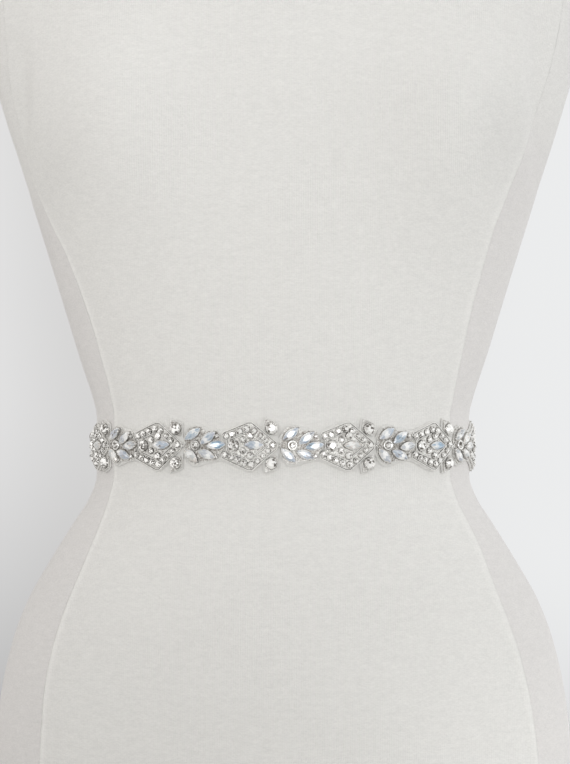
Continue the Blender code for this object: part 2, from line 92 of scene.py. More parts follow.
# Sash layers, as the source has them
SEAM_GAP = 0.3 * MM
CLOTH = 1.0 * MM
LAYER = CLOTH + SEAM_GAP
REPEATS = 8
REPEAT_LENGTH = 59.3 * MM
FIRST_CROSSING = -239.8 * MM
RIBBON_TUCK = 20 * MM
TUCK_RAMP = 14 * MM
EdgeRow = namedtuple("EdgeRow", "along top bottom")
SPRAY_EDGE = table(
    EdgeRow,
    (0.0, 4.6, -4.6), (0.9, 6.6, -6.4), (2.4, 9.4, -9.6), (5.4, 12.1, -12.3), (9.0, 13.1, -12.9),
    (12.4, 12.4, -11.9), (16.0, 10.9, -10.5), (20.0, 10.3, -9.8), (23.6, 9.6, -9.1),
)
DIAMOND_EDGE = table(
    EdgeRow,
    (-32.0, 10.0, -10.2), (-27.8, 11.6, -12.0), (-23.4, 13.3, -13.9), (-18.9, 15.1, -15.8),
    (-15.9, 15.0, -15.6), (-13.0, 12.8, -13.1), (-9.8, 10.3, -10.5), (-8.7, 17.1, -17.1), (-7.2, 17.0, -17.0),
    (-3.6, 15.7, -15.7), (-0.5, 14.2, -14.2), (-0.1, 7.4, -7.4),
)
RIBBON_HALF_WIDTH = 11 * MM
LAP_REACH = 14 * MM
LAP_RAMP = 16 * MM
CLOSURE_RADIUS = 0.8 * MM
HOOK_METAL = 0.6 * MM
LAP_ROOM = 2 * (CLOSURE_RADIUS + HOOK_METAL) + SEAM_GAP

# Motifs: outlines and stones in millimetres, a spray from the crossing on its left, the rest from their right
PLATE_BACK = SEAM_GAP
PLATE_FACE = 1.2 * MM
StonePlace = namedtuple("StonePlace", "along up angle")
SPRAY_NAVETTES = table(
    StonePlace,
    (7.2, 7.5, 35), (16.5, 5.0, 36), (21.4, 0.2, 8), (6.0, -5.7, -44), (15.8, -5.2, -24),
)
DIAMOND_NAVETTE = StonePlace(-14.4, 0.4, 0)
RoundStone = namedtuple("RoundStone", "along up radius")
SPRAY_CENTRE = RoundStone(8.3, 0.5, 2.1)
SPRAY_TIPS = table(RoundStone, (22.2, 6.1, 0.85), (22.4, -6.2, 0.85))
DIAMOND_LARGE = RoundStone(-27.2, 0.2, 3.25)
DIAMOND_RINGS = table(RoundStone, (-16.8, 6.3, 2.0), (-17.0, -6.0, 2.0))
DIAMOND_SMALL = table(RoundStone, (-21.4, 3.9, 1.7), (-21.5, -2.9, 1.7))
DIAMOND_RIM = table(
    RoundStone,
    (-31.6, 6.1, 1.7), (-27.5, 7.0, 1.8), (-23.1, 8.8, 1.75), (-18.9, 10.3, 1.8), (-14.7, 9.3, 1.7),
    (-10.9, 6.3, 1.35), (-7.6, 3.6, 1.45), (-3.4, 0.7, 1.75), (-32.2, -5.2, 1.7), (-28.6, -7.0, 1.7),
    (-24.8, -8.5, 1.75), (-20.6, -10.3, 1.75), (-16.3, -11.2, 1.8), (-12.6, -9.0, 1.5), (-9.5, -5.9, 1.4),
    (-6.2, -2.9, 1.4),
)
BUD_LARGE = RoundStone(-4.2, 10.5, 3.25)
Corner = namedtuple("Corner", "along up")
SPRAY_OUTLINE = table(
    Corner,
    (1.0, -1.2), (1.2, -4.6), (2.8, -8.0), (6.2, -10.9), (10.2, -11.3), (11.6, -9.6), (15.0, -9.3),
    (20.8, -9.1), (23.3, -8.0), (23.8, -5.2), (25.6, -2.6), (27.5, 0.4), (27.4, 1.8), (25.2, 3.4),
    (23.8, 5.2), (23.2, 8.2), (21.8, 9.3), (14.4, 9.2), (12.8, 11.6), (8.6, 12.3), (4.6, 10.9), (2.0, 7.4),
    (1.2, 3.6),
)
DIAMOND_OUTLINE = table(
    Corner,
    (-0.4, 1.0), (-1.2, 2.5), (-15.8, 14.5), (-18.4, 14.5), (-33.2, 8.5), (-34.4, 6.6), (-31.4, 3.4),
    (-31.4, -2.9), (-34.6, -5.3), (-34.2, -7.7), (-18.6, -15.0), (-15.8, -15.0), (-1.2, -2.4), (-0.4, -0.9),
)
BUD_OUTLINE = table(
    Corner,
    (-8.0, 16.3), (-8.3, 9.7), (-6.3, 7.4), (-1.5, 5.9), (-0.6, 8.4), (-0.6, 13.2), (-3.8, 15.0),
)

# Rods in the diamonds and at the crossings: each runs between two places
Rod = namedtuple("Rod", "along up end_along end_up")
DIAMOND_RODS = table(
    Rod,
    (-29.4, 3.9, -19.4, 7.9), (-14.6, -6.2, -6.6, 0.2), (-13.4, 6.0, -7.4, 1.3), (-29.8, -4.0, -20.4, -7.6),
)
CROSSING_RODS = table(Rod, (-0.7, 1.1, 1.9, -1.1), (-0.7, -1.0, 2.8, 2.2))
ROD_RADIUS = 0.3 * MM
CROSSING_ROD_RADIUS = 0.24 * MM
ROD_STEP = 2.5 * MM
ROD_LEVEL = 1.6 * MM
CROSSING_ROD_LEVEL = 1.5 * MM

# The stitches, stones and facets are drawn from one seed, the tones of the round stones' cups from another
rng = random.Random(11)
cup_rng = random.Random(5)


def smooth_curve(places, values):
    """A rising table read as a smooth curve that never overshoots its rows (monotone cubic)."""
    steps = [b - a for a, b in zip(places, places[1:])]
    slopes = [(b - a) / step for a, b, step in zip(values, values[1:], steps)]
    tangents = [slopes[0]]
    for left, right in zip(slopes, slopes[1:]):
        tangents.append(0.0 if left * right <= 0 else 2 * left * right / (left + right))
    tangents.append(slopes[-1])

    def read(place):
        row = min(max(bisect_right(places, place) - 1, 0), len(steps) - 1)
        step = steps[row]
        share = min(max((place - places[row]) / step, 0.0), 1.0)
        square = share * share
        cube = square * share
        return (
            (2 * cube - 3 * square + 1) * values[row]
            + (cube - 2 * square + share) * step * tangents[row]
            + (3 * square - 2 * cube) * values[row + 1]
            + (cube - square) * step * tangents[row + 1]
        )

    return read


def smooth_step(share):
    share = min(max(share, 0.0), 1.0)
    return share * share * (3 - 2 * share)


def bell(distance, spread):
    """1 at no distance, fading to 0."""
    return exp(-((distance / spread) ** 2))


def column(rows, name, unit=1.0):
    """A column of a table as a smooth curve over the rows' heights."""
    return smooth_curve([row.height * MM for row in rows], [getattr(row, name) * unit for row in rows])


form_half_width = column(FORM_SECTIONS, "half_width", MM)
form_front = column(FORM_SECTIONS, "front", MM)
form_back = column(FORM_SECTIONS, "back", MM)
left_seam_share = column(SEAM_ROWS, "left")
right_seam_share = column(SEAM_ROWS, "right")


def bust(x, height):
    level = ((height - BUST_HEIGHT) / BUST_SPREAD_UP) ** 2
    across = ((abs(x) - BUST_SIDE) / BUST_SPREAD_ACROSS) ** 2
    return BUST_DEPTH * 2.0 ** -(level + across)


def form_point(height, angle):
    """The form's surface at a height above the waist; the angle is 0 at the centre front, towards +X."""
    x = form_half_width(height) * sin(angle)
    facing = cos(angle)
    if facing > 0:
        y = -(form_front(height) + bust(x, height)) * facing
    else:
        y = -form_back(height) * facing
    return Vector((x, y, WAIST_HEIGHT + height))


class WaistCurve:
    """The form's outline at the waist, read by arc length."""

    SAMPLES = 1440

    def __init__(self):
        self.half_width = form_half_width(0.0)
        self.depth = form_front(0.0)
        self.lengths = [0.0]
        turn = 2 * pi / self.SAMPLES
        for i in range(self.SAMPLES):
            start = self.place(i * turn)
            end = self.place((i + 1) * turn)
            self.lengths.append(self.lengths[-1] + hypot(end[0] - start[0], end[1] - start[1]))
        self.length = self.lengths[-1]

    def place(self, angle):
        return self.half_width * sin(angle), -self.depth * cos(angle)

    def angle(self, along):
        along %= self.length
        i = min(bisect_right(self.lengths, along) - 1, self.SAMPLES - 1)
        share = (along - self.lengths[i]) / (self.lengths[i + 1] - self.lengths[i])
        return (i + share) * 2 * pi / self.SAMPLES


WAIST = WaistCurve()
CENTRE_BACK = WAIST.length / 2
APPLIQUE_START = FIRST_CROSSING
APPLIQUE_END = FIRST_CROSSING + REPEATS * REPEAT_LENGTH
UPWARDS = Vector((0.0, 0.0, 1.0))


def outward_at(along):
    angle = WAIST.angle(along)
    return Vector((WAIST.depth * sin(angle), -WAIST.half_width * cos(angle), 0.0)).normalized()


def sash_point(along, up, out):
    """A point beside the waist: along it, up from its centre line and out from its surface."""
    x, y = WAIST.place(WAIST.angle(along))
    return Vector((x, y, WAIST_HEIGHT + up)) + outward_at(along) * out


def backing_out(along):
    """How far the back of the applique lies from the form: it climbs over the ribbon at both ends."""
    from_end = min(along - APPLIQUE_START, APPLIQUE_END - along)
    climb = smooth_step((RIBBON_TUCK + TUCK_RAMP - from_end) / TUCK_RAMP)
    return SEAM_GAP + climb * LAYER


def face_point(along, up, level):
    """A point above the face of the backing cloth, bent round the waist with it."""
    return sash_point(along, up, backing_out(along) + CLOTH + level)


def on_face(crossing, points, level):
    """Flat points, measured from a crossing, brought to the face of the cloth."""
    return [face_point(crossing + p.x, p.y, level) for p in points]


def seat(along, up, turn, lean):
    """A stiff piece's frame on the cloth's face: x along, y up, z out, then turned and leaned a little."""
    out = outward_at(along)
    axes = Matrix((UPWARDS.cross(out), UPWARDS, out)).transposed().to_4x4()
    tilt = Matrix.Rotation(lean[0], 4, "X") @ Matrix.Rotation(lean[1], 4, "Y")
    return Matrix.Translation(face_point(along, up, 0.0)) @ axes @ tilt @ Matrix.Rotation(turn, 4, "Z")


def steps_between(start, end, longest):
    """Even steps from start to end, none longer than asked."""
    count = max(1, ceil(abs(end - start) / longest - 1e-9))
    return [start + (end - start) * i / count for i in range(count + 1)]


# Meshes


def put(name, data):
    """A new object in the scene."""
    made = bpy.data.objects.new(name, data)
    bpy.context.scene.collection.objects.link(made)
    return made


def mesh_object(name, points, faces, material, domain, marks):
    """A mesh whose faces turn outwards, with the marks' values on its faces or its points."""
    mesh = bpy.data.meshes.new(name)
    mesh.from_pydata(points, [], faces)
    for label, values in marks.items():
        mesh.attributes.new(label, "FLOAT", domain).data.foreach_set("value", values)
    shape = bmesh.new()
    shape.from_mesh(mesh)
    bmesh.ops.recalc_face_normals(shape, faces=shape.faces)
    shape.to_mesh(mesh)
    shape.free()
    mesh.materials.append(material)
    return put(name, mesh)


class Batch:
    """Points and faces of one piece, with a tone and a tint for each face."""

    def __init__(self):
        self.points, self.faces, self.tones, self.tints, self.smooth = [], [], [], [], []

    def add(self, points, faces, tone, tint, smooth=False):
        """Takes a single tone and tint, or one of each for every face."""
        first = len(self.points)
        count = len(faces)
        self.points += points
        self.faces += [tuple(first + i for i in face) for face in faces]
        self.tones += tone if isinstance(tone, list) else [tone] * count
        self.tints += tint if isinstance(tint, list) else [tint] * count
        self.smooth += [smooth] * count

    def build(self, name, material):
        marks = {"tone": self.tones, "tint": self.tints}
        made = mesh_object(name, self.points, self.faces, material, "FACE", marks)
        made.data.polygons.foreach_set("use_smooth", self.smooth)
        return made


def ring_faces(rows, count, closed=False):
    """Quads between rings of points that follow each other, and from the last back to the first if closed."""
    faces = []
    for row in range(rows if closed else rows - 1):
        here, there = row * count, (row + 1) % rows * count
        for i in range(count):
            j = (i + 1) % count
            faces.append((here + i, here + j, there + j, there + i))
    return faces


def closed_strip(batch, rings, tone=0.0, tint=0.0):
    """A strip or bar through rings of points, closed at both ends."""
    count = len(rings[0])
    points = [p for ring in rings for p in ring]
    ends = [tuple(range(count)), tuple(range(len(points) - count, len(points)))]
    batch.add(points, ring_faces(len(rings), count) + ends, tone, tint, smooth=True)


def tube(batch, path, radii, sides, tone, tint=0.0):
    """A round bar along a path."""
    turns = [2 * pi * k / sides for k in range(sides)]
    rings = []
    for i, (point, radius) in enumerate(zip(path, radii)):
        ahead = path[min(i + 1, len(path) - 1)] - path[max(i - 1, 0)]
        facing = ahead.to_track_quat("Z", "X")
        rings.append([point + facing @ Vector((radius * cos(t), radius * sin(t), 0.0)) for t in turns])
    closed_strip(batch, rings, tone, tint)


def rounded_tube(batch, path, radius, sides, tone, tint=0.0):
    """A bar with eased ends."""
    ease = radius * 0.5
    first = path[0] + (path[1] - path[0]).normalized() * ease
    last = path[-1] + (path[-2] - path[-1]).normalized() * ease
    radii = [radius * 0.6] + [radius] * len(path) + [radius * 0.6]
    tube(batch, [path[0], first] + path[1:-1] + [last, path[-1]], radii, sides, tone, tint)


# Materials


class Nodes:
    """A node tree being made: add() puts in a node, and a socket given as an input's value is linked."""

    def __init__(self, tree):
        self.tree = tree

    def link(self, value, socket):
        if isinstance(value, bpy.types.NodeSocket):
            self.tree.links.new(value, socket)
        else:
            socket.default_value = value

    def add(self, kind, inputs=(), **settings):
        node = self.tree.nodes.new(kind)
        for name, value in settings.items():
            setattr(node, name, value)
        for key, value in dict(inputs).items():
            self.link(value, node.inputs[key])
        return node

    def math(self, operation, *values):
        return self.add("ShaderNodeMath", dict(enumerate(values)), operation=operation).outputs[0]

    def weighted(self, start, *terms):
        """start plus each (value, weight)."""
        total = start
        for value, weight in terms:
            total = self.math("MULTIPLY_ADD", value, weight, total)
        return total

    def rise(self, value, low, high, least=0.0, kind="SMOOTHSTEP"):
        """From the least at the low value to 1 at the high one."""
        ends = {"Value": value, "From Min": low, "From Max": high, "To Min": least}
        return self.add("ShaderNodeMapRange", ends, interpolation_type=kind).outputs["Result"]

    def ramp(self, value, stops, kind="LINEAR"):
        node = self.add("ShaderNodeValToRGB", {"Fac": value})
        node.color_ramp.interpolation = kind
        marks = node.color_ramp.elements
        while len(marks) < len(stops):
            marks.new(0.5)
        for mark, (place, colour) in zip(marks, stops):
            mark.position = place
            mark.color = (*colour, 1.0)
        return node.outputs["Color"]


class Look(Nodes):
    """A material being made round Blender's Principled shader."""

    def __init__(self, name):
        self.material = bpy.data.materials.new(name)
        self.material.use_nodes = True
        super().__init__(self.material.node_tree)
        self.shader = self.tree.nodes["Principled BSDF"]

    def set(self, **values):
        for name, value in values.items():
            self.link(value, self.shader.inputs[name.replace("_", " ")])

    def attribute(self, name):
        return self.add("ShaderNodeAttribute", attribute_name=name).outputs["Fac"]

    def noise(self, scale, detail=2.0, stretch=(1.0, 1.0, 1.0)):
        """Noise from -0.5 to 0.5; the scale is in features a metre."""
        place = self.add("ShaderNodeTexCoord").outputs["Object"]
        spread = self.add("ShaderNodeVectorMath", {0: place, 1: stretch}, operation="MULTIPLY").outputs[0]
        noise = self.add("ShaderNodeTexNoise", {"Vector": spread, "Scale": scale, "Detail": detail})
        return self.math("SUBTRACT", noise.outputs["Fac"], 0.5)

    def mix(self, share, first, second):
        node = self.add("ShaderNodeMix", data_type="RGBA")
        colours = [s for s in node.inputs if s.type == "RGBA"]
        for socket, value in ((node.inputs[0], share), (colours[0], first), (colours[1], second)):
            self.link((*value, 1.0) if isinstance(value, tuple) else value, socket)
        return next(s for s in node.outputs if s.type == "RGBA")

    def scaled(self, colour, factor):
        return self.add("ShaderNodeVectorMath", {0: colour, "Scale": factor}, operation="SCALE").outputs[0]

    def bump(self, height, distance):
        node = self.add("ShaderNodeBump", {"Height": height, "Distance": distance})
        self.link(node.outputs["Normal"], self.shader.inputs["Normal"])


BLACK = (0.0, 0.0, 0.0)
WHITE = (1.0, 1.0, 1.0)
RIB_PITCH = 1.4 * MM
FRONT_JERSEY = (0.806, 0.796, 0.771)
SIDE_JERSEY = (0.768, 0.748, 0.732)


def jersey_look():
    """Fine ribbed cotton jersey with heathered yarn; the side panels are a shade greyer than the front."""
    look = Look("jersey_knit")
    ribs = look.math("SINE", look.math("MULTIPLY", look.attribute("across"), 2 * pi / RIB_PITCH))
    ribs = look.math("MULTIPLY", ribs, look.weighted(1.0, (look.noise(11.0, 1.0), 3.0)))
    heather = look.noise(140.0, 3.0, (1.0, 1.0, 3.0))
    fibre = look.noise(520.0, 2.0, (1.0, 1.0, 2.4))
    cloud = look.noise(9.0, 1.0)
    slub = look.math("GREATER_THAN", look.noise(110.0, 1.0, (1.0, 1.0, 5.0)), 0.26)
    # The seam mark: painted shade along the seams and under the chest, a painted highlight where below 0
    factor = look.weighted(1.0, (ribs, 0.011), (heather, 0.12), (fibre, 0.19), (cloud, 0.03), (slub, -0.03),
                           (look.attribute("seam"), -0.10))
    panel = look.mix(look.attribute("panel"), FRONT_JERSEY, SIDE_JERSEY)
    look.set(Base_Color=look.scaled(panel, factor), Roughness=0.92)
    look.set(Sheen_Weight=0.12, Sheen_Roughness=0.6, Specular_IOR_Level=0.2)
    look.bump(look.weighted(0.0, (ribs, 0.16), (fibre, 0.8), (heather, 0.2)), 0.22 * MM)
    return look.material


def backing_look():
    """Close white felt with a little gloss where the stones are bonded to it."""
    look = Look("backing_felt")
    fibre = look.noise(1500.0, 3.0)
    look.set(Base_Color=look.scaled((0.80, 0.79, 0.765), look.weighted(1.0, (fibre, 0.16))), Roughness=0.72)
    look.bump(fibre, 0.12 * MM)
    return look.material


def satin_look():
    """Ivory satin ribbon: fine lengthways floats, a soft sheen and a corded edge."""
    look = Look("satin_ribbon")
    floats = look.noise(520.0, 2.0, (0.12, 0.12, 4.0))
    slow = look.noise(26.0, 1.0)
    tone = look.weighted(1.0, (floats, 0.06), (slow, 0.04), (look.attribute("tone"), -0.12))
    look.set(Base_Color=look.scaled((0.84, 0.825, 0.785), tone), Roughness=look.weighted(0.36, (floats, 0.2)))
    look.set(Sheen_Weight=0.25, Sheen_Roughness=0.35, Anisotropic=0.5)
    look.bump(floats, 0.05 * MM)
    return look.material


def thread_look():
    look = Look("sewing_thread")
    twist = look.noise(2600.0, 1.0)
    look.set(Base_Color=look.scaled((0.83, 0.82, 0.79), look.weighted(1.0, (twist, 0.2))), Roughness=0.6)
    return look.material


def silver_look():
    """Bright plated metal. Where tint is 1 it is the speckled silver film that the settings are bonded to.
    Most wires and the rods take a tint near 1 too, drawn less metallic and near white as a painted highlight.
    """
    look = Look("silver_plate")
    wear = look.noise(420.0, 3.0)
    speckle = look.noise(1150.0, 3.0)
    film = look.attribute("tint")
    tone = look.weighted(look.attribute("tone"), (wear, 0.22))
    metal = look.ramp(tone, [
        (0.0, (0.12, 0.11, 0.10)), (0.5, (0.56, 0.55, 0.53)), (1.0, (0.98, 0.97, 0.945)),
    ])
    ground = look.ramp(look.weighted(look.attribute("tone"), (speckle, 2.1), (wear, 0.9)), [
        (0.0, (0.20, 0.175, 0.15)), (0.35, (0.42, 0.40, 0.375)),
        (0.65, (0.69, 0.675, 0.645)), (1.0, (0.94, 0.93, 0.90)),
    ])
    look.set(Base_Color=look.mix(film, metal, ground), Metallic=look.weighted(0.95, (film, -0.6)))
    look.set(Roughness=look.weighted(0.27, (wear, 0.25), (film, 0.12)))
    look.bump(look.weighted(0.0, (speckle, film), (look.noise(1300.0, 2.0), 0.3)), 0.16 * MM)
    return look.material


# The brightest crystal facets glow a little: painted glints, though they are no lamps
PAINTED_GLINT_FROM = 1.1
PAINTED_GLINT_GLOW = 0.22
GLASS_WHITE = (1.0, 0.99, 0.965)


def crystal_look():
    """Foil-backed clear glass: each facet is painted as lit as the foil behind it.
    The brightest ones glow as painted glints.
    """
    look = Look("foiled_crystal")
    tone = look.weighted(look.attribute("tone"), (look.noise(900.0, 2.0), 0.16))
    colour = look.ramp(tone, [
        (0.0, (0.12, 0.105, 0.09)), (0.3, (0.30, 0.285, 0.265)),
        (0.6, (0.73, 0.715, 0.685)), (1.0, GLASS_WHITE),
    ])
    look.set(Base_Color=colour, Metallic=0.25, Roughness=look.weighted(0.1, (look.noise(300.0, 1.0), 0.08)))
    glint = look.math("MAXIMUM", look.weighted(-PAINTED_GLINT_FROM, (tone, 1.0)), 0.0)
    glint = look.math("MULTIPLY", glint, PAINTED_GLINT_GLOW)
    look.set(Emission_Color=(*GLASS_WHITE, 1.0), Emission_Strength=glint)
    look.set(Coat_Weight=0.6, Coat_Roughness=0.03)
    return look.material


def opal_look():
    """Foil-backed milky glass: blue where the tint is low, then lavender, grey green and a rare peach."""
    look = Look("foiled_opal")
    milk = look.noise(260.0, 2.0)
    tone = look.weighted(look.attribute("tone"), (milk, 0.30))
    hue = look.ramp(look.weighted(look.attribute("tint"), (milk, 0.25)), [
        (0.0, (0.32, 0.45, 0.58)), (0.2, (0.46, 0.55, 0.64)), (0.45, (0.54, 0.56, 0.64)),
        (0.7, (0.58, 0.61, 0.61)), (1.0, (0.74, 0.62, 0.54)),
    ])
    # Painted light and shade: low tones darken the hue, high ones paint it white as a glint
    dark = look.mix(look.ramp(tone, [(0.15, WHITE), (0.45, BLACK)]), hue, (0.24, 0.22, 0.20))
    lit = look.mix(look.ramp(tone, [(0.5, BLACK), (0.95, WHITE)]), dark, (1.0, 0.995, 0.98))
    look.set(Base_Color=lit, Metallic=0.15, Roughness=look.weighted(0.12, (milk, 0.1)))
    look.set(Coat_Weight=0.4, Coat_Roughness=0.04)
    return look.material


def steel_look():
    look = Look("brushed_steel")
    grain = look.noise(900.0, 3.0, (1.0, 1.0, 0.15))
    look.set(Base_Color=look.scaled((0.60, 0.60, 0.60), look.weighted(1.0, (grain, 0.3))), Metallic=1.0)
    look.set(Roughness=look.weighted(0.32, (grain, 0.25)))
    look.bump(grain, 0.03 * MM)
    return look.material


# Dress form cover

COVER_ROW_STEP = 4.5 * MM
FRONT_COLUMNS = 34
SIDE_COLUMNS = 20
SEAM_OFFSETS = [d * MM for d in (-7, -4.5, -3, -2, -1.3, -0.7, -0.2, 0.3, 0.8, 1.4, 2.2, 3.4, 5, 7.5)]
PANEL_BLEND = 1.4 * MM
SASH_REACH = 26 * MM
HEM_HEIGHT = 12 * MM
NECK_SEAM = 9 * MM

# Long low ridges in the cover, or grooves where the height is below 0
Ridge = namedtuple("Ridge", "height offset spread")
SEAM_ROLL = Ridge(0.5 * MM, -2.0 * MM, 1.9 * MM)
SEAM_GROOVE = Ridge(-0.3 * MM, 0.5 * MM, 0.9 * MM)
# SEAM_SHADE is no relief but painted shade along the seam's groove, a share of the seam mark
SEAM_SHADE = Ridge(0.35, 0.3 * MM, 0.8 * MM)
HEM_GROOVE = Ridge(-0.5 * MM, HEM_HEIGHT - WAIST_HEIGHT, 1.2 * MM)
NECK_GROOVE = Ridge(-0.5 * MM, NECK_TOP - NECK_SEAM, 1.2 * MM)
CHEST_RIDGE = Ridge(1.0 * MM, -9 * MM, 6 * MM)
CREASE = Ridge(-2.6 * MM, 0.0, 7 * MM)
CREASE_LOW = 150 * MM
CREASE_RISE = 60 * MM
CREASE_FALL = 50 * MM
FADED_SEAM = 0.88

# What the cover does on each side, in millimetres: its seam fades out from seam_shows to seam_gone,
# a painted highlight runs along the front panel's rolled edge, a soft crease runs up beside the arm's
# stump as far as crease_top, and painted shade lies where the chest turns under
Hollow = namedtuple("Hollow", "x height across up shade")
CoverSide = namedtuple(
    "CoverSide", "seam_share seam_shows seam_gone pale pale_width crease crease_top hollow")
RIGHT_SIDE = CoverSide(right_seam_share, 165, 215, 0.45, 2.4, 158, 350, Hollow(134, 192, 20, 30, 0.55))
LEFT_SIDE = CoverSide(left_seam_share, 130, 175, 0.75, 1.8, 163, 270, Hollow(140, 168, 17, 30, 0.45))


def raised(ridge, place):
    return ridge.height * bell(place - ridge.offset, ridge.spread)


def seam_strength(side, height):
    """1 where the side seam shows plainly; it fades out beside the armhole."""
    shows, gone = side.seam_shows * MM, side.seam_gone * MM
    return 1 - FADED_SEAM * smooth_step((height - shows) / (gone - shows))


# Painted shade round a spot where the chest turns under
def painted_hollow_shade(hollow, x, height):
    across = (x - hollow.x * MM) / (hollow.across * MM)
    up = (height - hollow.height * MM) / (hollow.up * MM)
    return hollow.shade * bell(hypot(across, up), 1.0)


def seam_relief(offset, height):
    """How far the cover stands out near a seam, clear of the sash: a rolled edge with a groove beside it."""
    clear = smooth_step((abs(height) - SASH_REACH / 2) / (SASH_REACH / 2))
    return (raised(SEAM_ROLL, offset) + raised(SEAM_GROOVE, offset)) * clear


def crease_relief(side, x, height):
    """The chest and the arm's stump part in a soft crease with a low ridge beside it."""
    reach = smooth_step((height - CREASE_LOW) / CREASE_RISE)
    reach *= smooth_step((side.crease_top * MM - height) / CREASE_FALL)
    offset = x - side.crease * MM
    return reach * (raised(CHEST_RIDGE, offset) + raised(CREASE, offset))


def half_row(height, share):
    """(angle, offset from a seam, panel) from centre front to centre back; the panel is 1 at the side."""
    probe = 0.002
    front_seam = asin(share)
    marks = []
    for centre, sign in ((front_seam, 1), (pi - front_seam, -1)):
        speed = (form_point(height, centre + probe) - form_point(height, centre - probe)).length / (2 * probe)
        marks.append(sorted((centre + sign * offset / speed, offset) for offset in SEAM_OFFSETS))
    front, back = marks
    span = back[0][0] - front[-1][0]
    rest = pi - back[-1][0]
    row = [(front[0][0] * i / FRONT_COLUMNS, None, 0.0) for i in range(FRONT_COLUMNS)]
    row += [(angle, offset, smooth_step(offset / PANEL_BLEND + 0.5)) for angle, offset in front]
    row += [(front[-1][0] + span * i / SIDE_COLUMNS, None, 1.0) for i in range(1, SIDE_COLUMNS)]
    row += [(angle, offset, smooth_step(offset / PANEL_BLEND + 0.5)) for angle, offset in back]
    row += [(back[-1][0] + rest * i / FRONT_COLUMNS, None, 0.0) for i in range(1, FRONT_COLUMNS + 1)]
    return row


CoverPoint = namedtuple("CoverPoint", "place across panel seam")


def cover_half(height, pull, side):
    """Half a row of the cover on the +X side: points, places across their panels, panel and seam marks.
    The seam mark holds painted shade and a painted highlight.
    """
    row = half_row(height, side.seam_share(height))
    bases = [form_point(height, angle) for angle, _, _ in row]
    travelled = [0.0]
    for here, there in zip(bases, bases[1:]):
        travelled.append(travelled[-1] + (there - here).length)
    whole = travelled[-1]
    past = next(i for i, (angle, _, _) in enumerate(row) if angle >= pi / 2)
    part = (pi / 2 - row[past - 1][0]) / (row[past][0] - row[past - 1][0])
    side_mark = travelled[past - 1] + (travelled[past] - travelled[past - 1]) * part
    hem = raised(HEM_GROOVE, height) + raised(NECK_GROOVE, height)
    strength = seam_strength(side, height)
    # A painted highlight along the front panel's rolled edge, which lightens the seam mark
    highlight_profile = Ridge(side.pale, -1.2 * side.pale_width * MM, side.pale_width * MM)
    half = []
    for (angle, offset, panel), base, reach in zip(row, bases, travelled):
        relief = hem - pull
        seam = 0.0
        if offset is not None:
            relief += seam_relief(offset, height) * strength
            pale = raised(highlight_profile, offset)
            seam = strength * (raised(SEAM_SHADE, offset) - pale)
        if angle < pi / 2:
            relief += crease_relief(side, base.x, height)
            # Painted shade where the chest turns under
            seam += painted_hollow_shade(side.hollow, base.x, height)
        across = reach - side_mark if panel > 0.5 else min(reach, whole - reach)
        outward = Vector((base.x, base.y, 0.0)).normalized()
        half.append(CoverPoint(base + outward * relief, across, panel * strength, seam))
    return half


def cover_levels():
    """Heights of the cover's rows, and how far each is drawn in at the form's eased edges."""
    turns = (pi / 2, pi / 2.6, pi / 4, pi / 9)
    eased = [(FORM_EDGE_RADIUS * (1 - sin(turn)), FORM_EDGE_RADIUS * (1 - cos(turn))) for turn in turns]
    low = [(-WAIST_HEIGHT + rise, pull) for rise, pull in eased]
    high = [(NECK_TOP - rise, pull) for rise, pull in reversed(eased)]
    between = steps_between(-WAIST_HEIGHT + FORM_EDGE_RADIUS, NECK_TOP - FORM_EDGE_RADIUS, COVER_ROW_STEP)
    return low + [(height, 0.0) for height in between] + high


def mirrored(point):
    return point._replace(place=point.place * Vector((-1.0, 1.0, 1.0)), across=-point.across)


def make_cover(material):
    rings = []
    for height, pull in cover_levels():
        left = cover_half(height, pull, LEFT_SIDE)
        rings.append(cover_half(height, pull, RIGHT_SIDE) + [mirrored(point) for point in left[-2:0:-1]])
    count = len(rings[0])
    made = [point for ring in rings for point in ring]
    faces = ring_faces(len(rings), count)
    for start in (0, len(made) - count):
        ring = made[start:start + count]
        centre = sum((point.place for point in ring), Vector()) / count
        first = len(made)
        made += [point._replace(place=centre.lerp(point.place, 0.5), seam=0.0) for point in ring]
        made.append(CoverPoint(centre, 0.0, 0.0, 0.0))
        for i in range(count):
            j = (i + 1) % count
            faces += [(start + i, start + j, first + j, first + i), (first + i, first + j, first + count)]
    marks = {label: [getattr(point, label) for point in made] for label in ("across", "panel", "seam")}
    cover = mesh_object("form_cover", [point.place for point in made], faces, material, "POINT", marks)
    cover.data.shade_smooth()
    return cover


# Cloth strips

BACKING_STEP = 1.5 * MM
EDGE_ROUND = 0.25 * MM
STITCH_PITCH = 2.6 * MM
STITCH_REACH = 1.1 * MM
THREAD_RADIUS = 0.13 * MM
THREAD_TONE = 0.5


def backing_edges():
    """The backing's edge as rows of along, top and bottom, in metres."""
    rows = []
    for repeat in range(REPEATS):
        left = FIRST_CROSSING + repeat * REPEAT_LENGTH
        for crossing, edge in ((left, SPRAY_EDGE), (left + REPEAT_LENGTH, DIAMOND_EDGE)):
            rows += [(crossing + row.along * MM, row.top * MM, row.bottom * MM) for row in edge]
    rows.append((APPLIQUE_END, SPRAY_EDGE[0].top * MM, SPRAY_EDGE[0].bottom * MM))
    fine = []
    for here, there in zip(rows, rows[1:]):
        count = max(1, ceil((there[0] - here[0]) / BACKING_STEP))
        fine += [tuple(a + (b - a) * i / count for a, b in zip(here, there)) for i in range(count)]
    return fine + [rows[-1]]


